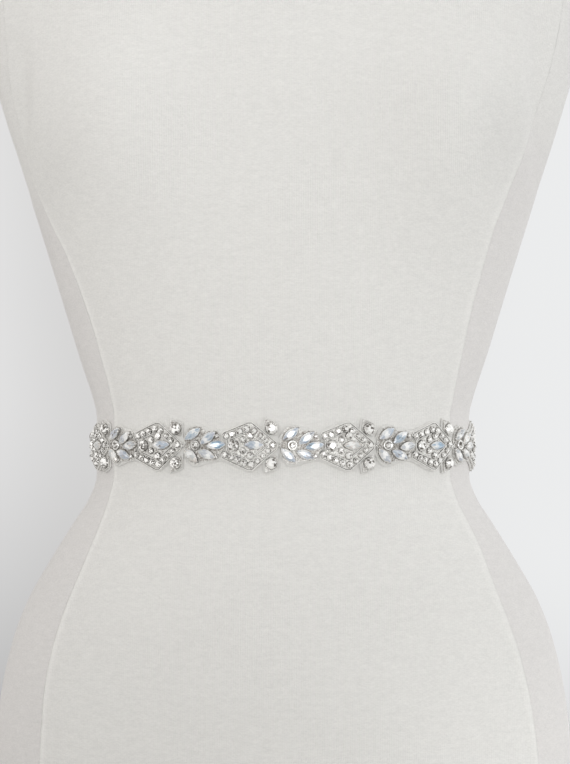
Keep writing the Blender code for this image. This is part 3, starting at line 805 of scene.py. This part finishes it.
def cloth_section(bottom, top, inner, thickness, lanes):
    """A strip's section: (up, out) round it, with eased edges."""
    outer = inner + thickness
    ups = [bottom + (top - bottom) * i / lanes for i in range(lanes + 1)]
    ups[0] += EDGE_ROUND
    ups[-1] -= EDGE_ROUND
    section = [(bottom, inner + thickness / 2)] + [(up, outer) for up in ups]
    section += [(top, inner + thickness / 2)] + [(up, inner) for up in reversed(ups)]
    return section


def make_backing(material):
    batch = Batch()
    rings = []
    for along, top, bottom in backing_edges():
        section = cloth_section(bottom, top, backing_out(along), CLOTH, 6)
        rings.append([sash_point(along, up, out) for up, out in section])
    closed_strip(batch, rings)
    return batch.build("applique_cloth", material)


def stitch(batch, start, end, rise, outward):
    """A short thread that dips into the cloth at both ends."""
    middle = start.lerp(end, 0.5) + outward * rise
    path = [start, start.lerp(middle, 0.6), middle, end.lerp(middle, 0.6), end]
    tube(batch, path, [THREAD_RADIUS * share for share in (0.5, 0.9, 1.0, 0.9, 0.5)], 5, THREAD_TONE)


def make_edge_stitches(material):
    """Whip stitches over the backing's edge."""
    batch = Batch()
    edges = backing_edges()
    alongs = [row[0] for row in edges]
    count = int((APPLIQUE_END - APPLIQUE_START) / STITCH_PITCH)
    for i in range(1, count):
        along = APPLIQUE_START + i * STITCH_PITCH
        row = edges[bisect_right(alongs, along) - 1]
        out = backing_out(along)
        outward = outward_at(along)
        for edge, side in ((row[1], 1), (row[2], -1)):
            slip = rng.uniform(-0.3, 0.3) * MM
            start = sash_point(along + slip, edge - side * STITCH_REACH, out + CLOTH + 0.05 * MM)
            end = sash_point(along + slip + 0.7 * MM, edge + side * 0.05 * MM, out + CLOTH * 0.4)
            stitch(batch, start, end, 0.25 * MM, outward)
    return batch.build("edge_stitches", material)


def lap_lift(along):
    share = (along - (CENTRE_BACK - LAP_REACH - LAP_RAMP)) / LAP_RAMP
    return smooth_step(share) * (LAYER + LAP_ROOM)


RIBBON_THICKNESS = 0.6 * MM
RIBBON_STEP = 2.0 * MM
HEM_LENGTH = 9 * MM
SELVEDGE = 0.9 * MM
RIPPLE = 0.12 * MM
CORD = 0.16 * MM


def make_ribbon(name, start, end, lift, hem_at, material):
    """A satin ribbon with corded edges, a hem turned under at the closure and a slow ripple along it."""
    batch = Batch()
    rings = []
    half = RIBBON_HALF_WIDTH
    ups = [-half, -half + SELVEDGE, -half * 0.6, -half * 0.2, half * 0.2, half * 0.6, half - SELVEDGE, half]
    for along in steps_between(start, end, RIBBON_STEP):
        ripple = RIPPLE * sin(along / (9 * MM)) * smooth_step(min(along - start, end - along) / (12 * MM))
        in_hem = abs(along - hem_at) < HEM_LENGTH
        thick = CLOTH if in_hem else RIBBON_THICKNESS
        raised_by = 0.0 if in_hem else (CLOTH - RIBBON_THICKNESS) / 2
        inner = SEAM_GAP + lift(along) + raised_by + abs(ripple) * 0.3
        outer = []
        for up in ups:
            cord = CORD if abs(up) > half - 2 * SELVEDGE else 0.0
            wave = ripple * cos(up / half * pi / 2)
            outer.append(sash_point(along, up, inner + thick + cord - 0.1 * MM + wave))
        rings.append(outer + [sash_point(along, up, inner) for up in reversed(ups)])
    closed_strip(batch, rings)
    return batch.build(name, material)


def make_ribbon_stitches(material):
    """Rows of stitches across the hems: two on the upper ribbon, one on the lower."""
    batch = Batch()
    face = SEAM_GAP + CLOTH - 0.05 * MM
    lap_right = CENTRE_BACK + LAP_REACH
    lap_left = CENTRE_BACK - LAP_REACH
    lines = [(along, face + lap_lift(along)) for along in (lap_right - 2 * MM, lap_right - 7.5 * MM)]
    for along, out in lines + [(lap_left + 2 * MM, face)]:
        for i in range(8):
            low = -RIBBON_HALF_WIDTH + (1.6 + i * 2.5) * MM
            start, end = (sash_point(along, up, out) for up in (low, low + 1.7 * MM))
            stitch(batch, start, end, 0.12 * MM, outward_at(along))
    return batch.build("ribbon_stitches", material)


# Stones and settings


def round_outline(radius, count):
    turns = [2 * pi * i / count for i in range(count)]
    return [Vector((radius * cos(turn), radius * sin(turn))) for turn in turns]


def navette_outline(half_length, half_width, count):
    """A boat shape with a tip at each end."""
    points = []
    for i in range(count):
        x = cos(2 * pi * i / count)
        y = (1 - x * x) ** 0.86
        points.append(Vector((half_length * x, half_width * (y if i < count / 2 else -y))))
    return points


def grown(outline, distance):
    """The outline moved outwards."""
    points = []
    for before, here, after in zip(outline[-1:] + outline[:-1], outline, outline[1:] + outline[:1]):
        side = after - before
        points.append(here + Vector((side.y, -side.x)).normalized() * distance)
    return points


def at(matrix, place, level):
    return matrix @ Vector((place.x, place.y, level))


CrownLevels = namedtuple("CrownLevels", "base girdle middle table")


def cut_stone(batch, matrix, outline, levels, table_share, tones):
    """A faceted stone on a straight girdle: table, stars, kites and girdle facets round an even outline."""
    n = len(outline) // 2
    girdle = [at(matrix, p, levels.girdle) for p in outline]
    base = [at(matrix, p * CROWN_BASE, levels.base) for p in outline]
    mids = [at(matrix, outline[2 * i] * CROWN_MIDDLE, levels.middle) for i in range(n)]
    tables = [at(matrix, outline[2 * i + 1] * table_share, levels.table) for i in range(n)]
    points = girdle + base + mids + tables + [at(matrix, Vector((0.0, 0.0)), levels.table)]
    b, m, t, heart = 2 * n, 4 * n, 5 * n, 6 * n
    facets = []
    for i in range(n):
        after = (i + 1) % n
        before = (i - 1) % n
        facets += [
            ("star", (t + i, t + before, m + i)),
            ("kite", (m + i, 2 * i + 1, m + after, t + i)),
            ("girdle", (m + i, 2 * i, 2 * i + 1)),
            ("girdle", (m + i, (2 * i - 1) % b, 2 * i)),
            ("table", (t + before, t + i, heart)),
        ]
    facets += [("wall", (i, b + i, b + (i + 1) % b, (i + 1) % b)) for i in range(b)]
    facets.append(("base", tuple(range(b, m))))
    back = matrix.inverted()
    tone_of, tint_of = tones
    lit, hues = [], []
    for kind, face in facets:
        centre = back @ (sum((points[i] for i in face), Vector()) / len(face))
        lit.append(tone_of(kind, centre))
        hues.append(tint_of(kind, centre))
    batch.add(points, [face for _, face in facets], lit, hues)


# The light comes from the right, so the stones and their cups are painted with more contrast towards the left
LEFT_START = -5 * MM
LEFT_BLEND = 70 * MM

# How often a crystal's facet of each kind is painted bright, and how often painted between bright and dark
FACET_SHARES = {"table": (0.76, 0.12), "star": (0.62, 0.20), "kite": (0.46, 0.32), "girdle": (0.36, 0.36)}
DARK_FACET = 0.06


def left_share(along):
    """0 from the middle of the sash rightwards, rising to 1 on the form's left side."""
    return smooth_step((-along - LEFT_START) / LEFT_BLEND)


def crystal_tones(along, dim):
    """How a crystal's facets are painted lit: mostly bright, with a dark few on the side away from its glint.
    """
    glint = radians(rng.uniform(0, 360))
    half_lit = 0.7 - 0.35 * left_share(along)
    full_lit = 1.0 + left_share(along)

    def tone(kind, place):
        if kind in ("wall", "base"):
            return 0.35
        facing = cos(place.to_2d().angle_signed(Vector((cos(glint), sin(glint))), 0.0))
        draw = rng.random() - 0.2 * facing + dim
        bright, middle = FACET_SHARES[kind]
        return full_lit if draw < bright else half_lit if draw < bright + middle else DARK_FACET

    return tone, lambda kind, place: 0.0


# Tints of the opals, one of these each across the front and nearly the same pale one round the sides, a paler
# hue painted where they turn away from the light; and the places of their painted glints in millimetres from
# an opal's middle
OPAL_HUES = (0.0, 0.12, 0.3, 0.3, 0.45, 0.6, 0.75)
SIDE_HUE = 0.72
FRONT_REACH = 95 * MM
SIDE_BLEND = 40 * MM
PAINTED_GLINT_PLACES = (-3.4, -3.0, -2.2, -1.0, 1.6, 3.0)


def opal_tones(along):
    """How an opal's facets are painted lit: a slanting painted white glint near one end, a soft heart and
    pale edges, and a few facets in painted shade.
    """
    glint = rng.choice(PAINTED_GLINT_PLACES) * MM
    slant = rng.uniform(-0.8, 0.8)
    side = smooth_step((abs(along) - FRONT_REACH) / SIDE_BLEND)
    hue = rng.choice(OPAL_HUES) * (1 - side) + SIDE_HUE * side

    def tone(kind, place):
        if kind in ("wall", "base"):
            return 0.4
        white = 0.5 * bell(place.x + slant * place.y - glint, 1.6 * MM)
        edge = 0.10 if kind == "girdle" else 0.0
        shade = 0.28 if rng.random() < 0.10 else 0.0
        return 0.52 + white + edge - shade + rng.uniform(-0.10, 0.14)

    def tint(kind, place):
        flash = 0.4 if rng.random() < 0.04 else 0.0
        return min(1.0, hue + (0.2 if kind == "girdle" else 0.0) + rng.uniform(-0.1, 0.1) + flash)

    return tone, tint


# The dark foot round each cup, the darker low wall and the dark bed under each rod are painted shade
CUP_FOOT = 0.28 * MM
PAINTED_SHADE_TONE = 0.09
CLAW_TONE = 0.95


def cup(batch, matrix, outline, top, wall, tone, foot=PAINTED_SHADE_TONE):
    """The metal wall round a stone: a dark foot on the plate, and a rim that closes over the girdle. The foot
    and the low part of the wall are darkened as painted shade.
    """
    rows = [
        (wall + CUP_FOOT, PLATE_FACE - 0.1 * MM, foot),
        (wall + CUP_FOOT * 0.8, PLATE_FACE + 0.1 * MM, foot),
        (wall, PLATE_FACE + 0.3 * MM, tone * 0.6),
        (wall, top - 0.15 * MM, tone),
        (wall * 0.6, top, tone),
        (-0.1 * MM, top - 0.02 * MM, tone),
        (-0.1 * MM, top - 0.35 * MM, tone),
    ]
    points = [at(matrix, p, level) for distance, level, _ in rows for p in grown(outline, distance)]
    tones = [tone_of_row for _, _, tone_of_row in rows[:-1] for _ in outline]
    batch.add(points, ring_faces(len(rows), len(outline)), tones, 0.0, smooth=True)


def claw(batch, matrix, place, bottom, girdle, top, radius):
    """A prong that rises beside the stone and closes over its edge."""
    inward = -place.normalized()
    path = [
        at(matrix, place - inward * radius * 1.2, bottom),
        at(matrix, place - inward * radius * 1.0, girdle),
        at(matrix, place + inward * radius * 0.3, girdle + (top - girdle) * 0.62),
        at(matrix, place + inward * radius * 1.9, girdle + (top - girdle) * 0.95),
    ]
    tube(batch, path, [radius, radius, radius * 0.95, radius * 0.55], 6, CLAW_TONE)


class Repeat:
    """The metal, opals and crystals of one repeat of the trim."""

    def __init__(self):
        self.metal, self.opals, self.crystals = Batch(), Batch(), Batch()


NAVETTE_HALF_LENGTH = 5.95 * MM
NAVETTE_HALF_WIDTH = 2.65 * MM
NAVETTE_CORNERS = 16
NAVETTE_CLAWS = (2, 6, 10, 14)
NAVETTE_TABLE = 0.52
NAVETTE_RIM = 2.4 * MM
NAVETTE_WALL = 0.2 * MM
NAVETTE_CLAW_TOP = 3.0 * MM
NAVETTE_CLAW_RADIUS = 0.24 * MM
NAVETTE_BEZEL = 0.75
NAVETTE_FOOT_SHADE_TONE = 0.22
ROUND_TABLE = 0.55
ROUND_CUP_CORNERS = 24
CROWN_MIDDLE = 0.80
CROWN_BASE = 0.94
LARGE_LEVELS = CrownLevels(1.0 * MM, 2.3 * MM, 3.1 * MM, 3.7 * MM)
BUD_LEVELS = CrownLevels(1.0 * MM, 2.4 * MM, 3.3 * MM, 4.0 * MM)
SMALL_LEVELS = CrownLevels(0.9 * MM, 2.0 * MM, 2.55 * MM, 2.9 * MM)

# Round stones, in millimetres: bezel is the cup's tone, and dim is how much rarer the painted bright facets
# are
RoundKind = namedtuple("RoundKind", "levels facets claws claw_radius wall bezel dim")
SPRAY_ROUND = RoundKind(LARGE_LEVELS, 8, 0, 0.3, 0.95, 1.0, 0.25)
TIP_ROUND = RoundKind(SMALL_LEVELS, 5, 0, 0.3, 0.25, 0.7, 0.0)
LARGE_ROUND = RoundKind(LARGE_LEVELS, 8, 4, 0.3, 0.2, 0.6, 0.1)
RING_ROUND = RoundKind(SMALL_LEVELS, 6, 4, 0.24, 0.2, 0.6, 0.0)
RIM_ROUND = RoundKind(SMALL_LEVELS, 6, 4, 0.26, 0.15, 0.7, 0.0)
BUD_ROUND = RoundKind(BUD_LEVELS, 8, 4, 0.3, 0.25, 0.75, 0.0)


# How far off a stone may be: its shift in millimetres, its turn and lean in degrees
Slack = namedtuple("Slack", "shift turn lean")
NAVETTE_SLACK = Slack(0.25, 3.0, 4.0)
ROUND_SLACK = Slack(0.12, 40.0, 5.0)


def hand_set(crossing, place, slack):
    """A stone's place along the sash and its frame, each a little off as hand-set stones are."""
    shift, turn, lean = slack
    along = crossing + (place.along + rng.uniform(-shift, shift)) * MM
    up = (place.up + rng.uniform(-shift, shift)) * MM
    angle = radians(place.angle + rng.uniform(-turn, turn))
    leans = radians(rng.uniform(-lean, lean)), radians(rng.uniform(-lean, lean))
    return along, seat(along, up, angle, leans)


def set_navette(repeat, crossing, place):
    along, matrix = hand_set(crossing, place, NAVETTE_SLACK)
    outline = navette_outline(NAVETTE_HALF_LENGTH, NAVETTE_HALF_WIDTH, NAVETTE_CORNERS)
    cut_stone(repeat.opals, matrix, outline, LARGE_LEVELS, NAVETTE_TABLE, opal_tones(along))
    cup(repeat.metal, matrix, outline, NAVETTE_RIM, NAVETTE_WALL, NAVETTE_BEZEL, NAVETTE_FOOT_SHADE_TONE)
    for i in NAVETTE_CLAWS:
        claw(repeat.metal, matrix, outline[i], LARGE_LEVELS.base, NAVETTE_RIM, NAVETTE_CLAW_TOP,
             NAVETTE_CLAW_RADIUS)


def set_round(repeat, crossing, stone, kind):
    along, matrix = hand_set(crossing, StonePlace(stone.along, stone.up, 0), ROUND_SLACK)
    radius = stone.radius * MM
    levels = kind.levels
    outline = round_outline(radius, 2 * kind.facets)
    cut_stone(repeat.crystals, matrix, outline, levels, ROUND_TABLE, crystal_tones(along, kind.dim))
    bezel = kind.bezel * (1 + left_share(along) * cup_rng.uniform(-0.6, 0.5))
    wall = round_outline(radius, ROUND_CUP_CORNERS)
    cup(repeat.metal, matrix, wall, levels.girdle + 0.15 * MM, kind.wall * MM, bezel)
    top = levels.girdle + (levels.middle - levels.girdle) * 1.05
    for i in range(kind.claws):
        angle = 2 * pi * (i + 0.5) / kind.claws
        rim = Vector((radius * cos(angle), radius * sin(angle)))
        claw(repeat.metal, matrix, rim, levels.base, levels.girdle, top, kind.claw_radius * MM)


# Plates under the stones

PLATE_STEP = 1.6 * MM
FILM_MARGIN = 1.8 * MM
FILM_EDGE_TONE = 0.66
# Most wires and the rods are less metallic and near white: a painted highlight in place of metal glints
WIRE_MATTE_SHARE = 0.9
WIRE_HIGHLIGHT_TONE = 1.25
Wire = namedtuple("Wire", "level radius tone film")
SPRAY_WIRE = Wire(1.25 * MM, 0.18 * MM, 0.9, WIRE_MATTE_SHARE)
DIAMOND_WIRE = Wire(1.4 * MM, 0.28 * MM, WIRE_HIGHLIGHT_TONE, WIRE_MATTE_SHARE)
INNER_WIRE = Wire(1.35 * MM, 0.2 * MM, WIRE_HIGHLIGHT_TONE, WIRE_MATTE_SHARE)
INNER_WIRE_INSET = 1.05 * MM
BUD_WIRE = Wire(1.2 * MM, 0.2 * MM, 0.75, 0.2)
# The spray's film is grey among its stones: partly its own tone, partly painted shade in the gaps
SPRAY_FILM_TONE = 0.4
DIAMOND_FILM_TONE = 0.72
BUD_FILM_TONE = 0.5
# A dark band on the plate between the diamond's two wires, painted shade
GROOVE_SHADE_TONE = 0.3
SectionCorner = namedtuple("SectionCorner", "outwards level")
GROOVE_SHADE_BAND = table(
    SectionCorner,
    (-0.4 * MM, PLATE_FACE - 0.1 * MM), (-0.85 * MM, PLATE_FACE - 0.1 * MM),
    (-0.85 * MM, PLATE_FACE + 0.06 * MM), (-0.4 * MM, PLATE_FACE + 0.06 * MM),
)


def in_metres(corners):
    return [Vector((corner.along * MM, corner.up * MM)) for corner in corners]


def sides_of(loop):
    """Each corner of a loop with the next one."""
    return zip(loop, loop[1:] + loop[:1])


def divided(loop, longest):
    points = []
    for start, end in sides_of(loop):
        count = max(1, ceil((end - start).length / longest - 1e-9))
        points += [start.lerp(end, i / count) for i in range(count)]
    return points


def is_inside(point, loop):
    inside = False
    for start, end in sides_of(loop):
        if (start.y > point.y) != (end.y > point.y):
            crossing = start.x + (point.y - start.y) / (end.y - start.y) * (end.x - start.x)
            inside ^= crossing > point.x
    return inside


def grid_inside(loop, step, margin):
    """An even grid of points inside a loop, none nearer to its corners than the margin."""
    columns, rows = (
        steps_between(min(p[axis] for p in loop), max(p[axis] for p in loop), step)[1:-1] for axis in (0, 1))
    grid = [Vector((x, y)) for x in columns for y in rows]
    return [p for p in grid if is_inside(p, loop) and min((p - corner).length for corner in loop) > margin]


def reach_in(point, loop):
    """How far a point lies inside a loop, up to the film's margin."""
    shortest = FILM_MARGIN
    for start, end in sides_of(loop):
        side = end - start
        share = min(max((point - start).dot(side) / side.length_squared, 0.0), 1.0)
        shortest = min(shortest, (start.lerp(end, share) - point).length)
    return shortest


def make_plate(batch, crossing, outline, tone):
    """A thin plate with eased edges, bent round the waist: pale at its margin, its given tone among the
    settings.
    On the spray that tone is partly painted shade between the stones.
    """
    loop = divided(outline, PLATE_STEP)
    front, back = grown(loop, -0.25 * MM), grown(loop, -0.1 * MM)
    rows = [
        (back, PLATE_BACK), (loop, PLATE_BACK + 0.2 * MM), (loop, PLATE_FACE - 0.2 * MM), (front, PLATE_FACE),
    ]
    points = [point for row, level in rows for point in on_face(crossing, row, level)]
    batch.add(points, ring_faces(len(rows), len(loop)), FILM_EDGE_TONE, 1.0, smooth=True)
    for edge, level in ((front, PLATE_FACE), (back, PLATE_BACK)):
        loose = grid_inside(edge, PLATE_STEP, PLATE_STEP / 3)
        found, _, triangles, *_ = delaunay_2d_cdt(edge + loose, [], [list(range(len(edge)))], 1, 1e-7)
        tones = []
        for corners in triangles:
            centre = sum((found[i] for i in corners), Vector((0.0, 0.0))) / 3
            depth = smooth_step(reach_in(centre, outline) / FILM_MARGIN)
            tones.append(FILM_EDGE_TONE + (tone - FILM_EDGE_TONE) * depth)
        batch.add(on_face(crossing, found, level), [tuple(t) for t in triangles], tones, 1.0)


def set_rod(repeat, crossing, rod, level, radius):
    """A rod painted bright as a highlight, over a dark bed of painted shade."""
    first, last = in_metres([Corner(rod.along, rod.up), Corner(rod.end_along, rod.end_up)])
    count = max(2, ceil((last - first).length / ROD_STEP))
    flat = [first.lerp(last, i / count) for i in range(count + 1)]
    rounded_tube(repeat.metal, on_face(crossing, flat, level - radius), radius * 1.6, 8, PAINTED_SHADE_TONE)
    rounded_tube(repeat.metal, on_face(crossing, flat, level), radius, 8, WIRE_HIGHLIGHT_TONE, WIRE_MATTE_SHARE)


def edge_band(batch, crossing, outline, section, tone, film=0.0):
    """A band all round an outline; the corners of its section give a distance outwards and a level each."""
    loop = divided(outline, PLATE_STEP)
    points = [p for distance, level in section for p in on_face(crossing, grown(loop, distance), level)]
    batch.add(points, ring_faces(len(section), len(loop), closed=True), tone, film, smooth=True)


def edge_wire(batch, crossing, outline, wire):
    """A raised wire all round an outline."""
    angles = [2 * pi * k / 6 for k in range(6)]
    section = [(wire.radius * (cos(angle) - 0.6), wire.level + wire.radius * sin(angle)) for angle in angles]
    edge_band(batch, crossing, outline, section, wire.tone, wire.film)


def make_spray(repeat, crossing):
    outline = in_metres(SPRAY_OUTLINE)
    make_plate(repeat.metal, crossing, outline, SPRAY_FILM_TONE)
    edge_wire(repeat.metal, crossing, outline, SPRAY_WIRE)
    for place in SPRAY_NAVETTES:
        set_navette(repeat, crossing, place)
    set_round(repeat, crossing, SPRAY_CENTRE, SPRAY_ROUND)
    for stone in SPRAY_TIPS:
        set_round(repeat, crossing, stone, TIP_ROUND)
    for rod in CROSSING_RODS:
        set_rod(repeat, crossing, rod, CROSSING_ROD_LEVEL, CROSSING_ROD_RADIUS)


def make_diamond(repeat, crossing):
    outline = in_metres(DIAMOND_OUTLINE)
    make_plate(repeat.metal, crossing, outline, DIAMOND_FILM_TONE)
    edge_wire(repeat.metal, crossing, outline, DIAMOND_WIRE)
    edge_wire(repeat.metal, crossing, grown(outline, -INNER_WIRE_INSET), INNER_WIRE)
    edge_band(repeat.metal, crossing, outline, GROOVE_SHADE_BAND, GROOVE_SHADE_TONE)
    set_navette(repeat, crossing, DIAMOND_NAVETTE)
    set_round(repeat, crossing, DIAMOND_LARGE, LARGE_ROUND)
    for stone in DIAMOND_RINGS:
        set_round(repeat, crossing, stone, RING_ROUND)
    for stone in DIAMOND_SMALL + DIAMOND_RIM:
        set_round(repeat, crossing, stone, RIM_ROUND)
    for rod in DIAMOND_RODS:
        set_rod(repeat, crossing, rod, ROD_LEVEL, ROD_RADIUS)


def make_bud(repeat, crossing, side):
    corners = BUD_OUTLINE if side > 0 else [Corner(c.along, -c.up) for c in reversed(BUD_OUTLINE)]
    outline = in_metres(corners)
    make_plate(repeat.metal, crossing, outline, BUD_FILM_TONE)
    edge_wire(repeat.metal, crossing, outline, BUD_WIRE)
    set_round(repeat, crossing, BUD_LARGE._replace(up=BUD_LARGE.up * side), BUD_ROUND)


# Stage: floor, light and camera

FLOOR_RADIUS = 3.2
FLOOR_SIDES = 96
FLOOR_FADE = (0.38, 1.3)
VIEW_DISTANCE = 1.5
VIEW_SIDE = 1.3 * MM
VIEW_TILT = 1.57
FRAME_HEIGHT_PIXELS = 764
FOCAL_PIXELS = 2333
SENSOR = 36.0


def make_floor():
    """A pale disc that fades out round its edge."""
    look = Look("studio_floor")
    place = look.add("ShaderNodeTexCoord").outputs["Object"]
    reach = look.add("ShaderNodeVectorMath", {0: place}, operation="LENGTH").outputs["Value"]
    fade = look.rise(reach, *FLOOR_FADE)
    grain = look.noise(60.0, 2.0)
    look.set(Base_Color=look.scaled((0.72, 0.715, 0.705), look.weighted(1.0, (grain, 0.01))), Roughness=0.8)
    clear = look.add("ShaderNodeBsdfTransparent").outputs[0]
    mixed = look.add("ShaderNodeMixShader", {0: fade, 1: look.shader.outputs[0], 2: clear})
    look.link(mixed.outputs[0], look.tree.nodes["Material Output"].inputs["Surface"])
    mesh = bpy.data.meshes.new("floor")
    points = [Vector((0.0, 0.0, 0.0))] + [p.to_3d() for p in round_outline(FLOOR_RADIUS, FLOOR_SIDES)]
    mesh.from_pydata(points, [], [(0, i + 1, (i + 1) % FLOOR_SIDES + 1) for i in range(FLOOR_SIDES)])
    mesh.materials.append(look.material)
    put("floor", mesh)


# The studio's colour from its left, at -1, to its right, at 1; the dip just left of the form is the form's
# shadow on the backdrop, painted in
WorldStop = namedtuple("WorldStop", "place colour")
WORLD_STOPS = table(
    WorldStop,
    (-1.0, (1.145, 1.12, 1.09)), (-0.3, (0.735, 0.728, 0.712)), (-0.14, (0.775, 0.773, 0.774)),
    (-0.08, (0.67, 0.666, 0.663)), (0.12, (0.836, 0.843, 0.848)), (0.3, (0.92, 0.925, 0.92)),
    (1.0, (1.18, 1.19, 1.195)),
)

# It is darker towards the lower left, where the form's shadow on the backdrop is painted in and dims the
# light from there too, and in front of the form: darkest up to the first number, whole from the second on,
# and the share of the light that is left where it is darkest
CORNER_TILT = 0.3
CORNER_FALL = (-0.236, -0.006, 0.5)
FRONT_FALL = (-0.9, -0.2, 0.6)


def make_world():
    """A pale studio, brighter on the right than on the left and darkest towards the lower left.
    The form's shadow on the backdrop is painted into it, by its left side and towards the lower left.
    """
    world = bpy.data.worlds.new("studio")
    bpy.context.scene.world = world
    world.use_nodes = True
    nodes = Nodes(world.node_tree)
    place = nodes.add("ShaderNodeTexCoord").outputs["Generated"]
    x, y, z = nodes.add("ShaderNodeSeparateXYZ", {0: place}).outputs
    stops = [((stop.place + 1) / 2, stop.colour) for stop in WORLD_STOPS]
    colour = nodes.ramp(nodes.rise(x, -1.0, 1.0, kind="LINEAR"), stops, "EASE")
    corner = nodes.rise(nodes.weighted(z, (x, CORNER_TILT)), *CORNER_FALL)
    strength = nodes.math("MULTIPLY", corner, nodes.rise(y, *FRONT_FALL))
    background = world.node_tree.nodes["Background"]
    nodes.link(colour, background.inputs["Color"])
    nodes.link(strength, background.inputs["Strength"])


SoftLight = namedtuple("SoftLight", "name place target size power spread")
LIGHTS = table(
    SoftLight,
    ("key", (0.35, -1.9, 0.40), (0.10, 0.0, 0.54), 0.9, 0.8, 45),
    ("left", (-0.8, -1.3, 0.7), (-0.12, 0.0, 0.52), 0.6, 0.3, 40),
    ("low", (1.1, -1.1, 0.0), (0.18, 0.0, 0.0), 0.3, 0.038, 9),
)


def make_light(light):
    lamp = bpy.data.lights.new(light.name, "AREA")
    lamp.size = light.size
    lamp.energy = light.power
    lamp.spread = radians(light.spread)
    made = put(light.name, lamp)
    made.location = light.place
    made.rotation_euler = (Vector(light.target) - Vector(light.place)).to_track_quat("-Z", "Y").to_euler()


def make_camera():
    camera = bpy.data.cameras.new("camera")
    camera.sensor_width = SENSOR
    camera.lens = SENSOR * FOCAL_PIXELS / FRAME_HEIGHT_PIXELS
    viewer = put("camera", camera)
    viewer.location = (VIEW_SIDE, -VIEW_DISTANCE, WAIST_HEIGHT)
    viewer.rotation_euler = (radians(90 + VIEW_TILT), 0.0, 0.0)
    bpy.context.scene.camera = viewer


def settle(piece, slot, *nodes):
    """Puts a piece on the part's one body and hides the nodes that it stands for, if any."""
    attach(piece, "root")
    if nodes:
        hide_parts(*nodes)


def make_cloth():
    """The applique's backing, the two ribbons and their stitches."""
    thread = thread_look()
    backing = make_backing(backing_look())
    stitches = make_edge_stitches(thread)
    settle(backing, "backing_cloth", "applique_backing")
    settle(stitches, "backing_cloth")
    edges = backing_edges()

    satin = satin_look()
    right_start, right_end = APPLIQUE_END - RIBBON_TUCK, CENTRE_BACK + LAP_REACH
    left_start, left_end = CENTRE_BACK - LAP_REACH, APPLIQUE_START + WAIST.length + RIBBON_TUCK
    right = make_ribbon("satin_right", right_start, right_end, lap_lift, right_end, satin)
    left = make_ribbon("satin_left", left_start, left_end, lambda along: 0.0, left_start, satin)
    seams = make_ribbon_stitches(thread)
    settle(right, "satin", "ribbon_right")
    settle(left, "satin", "ribbon_left")
    settle(seams, "satin")


def make_trim():
    """The settings, opals and crystals of every repeat."""
    silver, opal, crystal = silver_look(), opal_look(), crystal_look()
    for number in range(1, REPEATS + 1):
        crossing = FIRST_CROSSING + (number - 1) * REPEAT_LENGTH
        repeat = Repeat()
        make_spray(repeat, crossing)
        make_diamond(repeat, crossing + REPEAT_LENGTH)
        for side in (1, -1):
            make_bud(repeat, crossing + REPEAT_LENGTH, side)
        settle(repeat.metal.build(f"settings_{number}", silver), "silver_setting", f"diamond_{number}")
        settle(repeat.opals.build(f"opals_{number}", opal), "opal", f"leaf_spray_{number}")
        settle(repeat.crystals.build(f"crystals_{number}", crystal), "crystal",
               f"bud_upper_{number}", f"bud_lower_{number}")


def main():
    bpy.context.scene.view_settings.view_transform = "Standard"
    make_world()
    make_floor()
    for light in LIGHTS:
        make_light(light)
    make_camera()

    settle(make_cover(jersey_look()), "jersey", "dress_form")
    make_cloth()
    make_trim()

    steel = steel_look()
    for name in ("closure_hook", "closure_bar"):
        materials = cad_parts[name].data.materials
        materials.clear()
        materials.append(steel)


main()
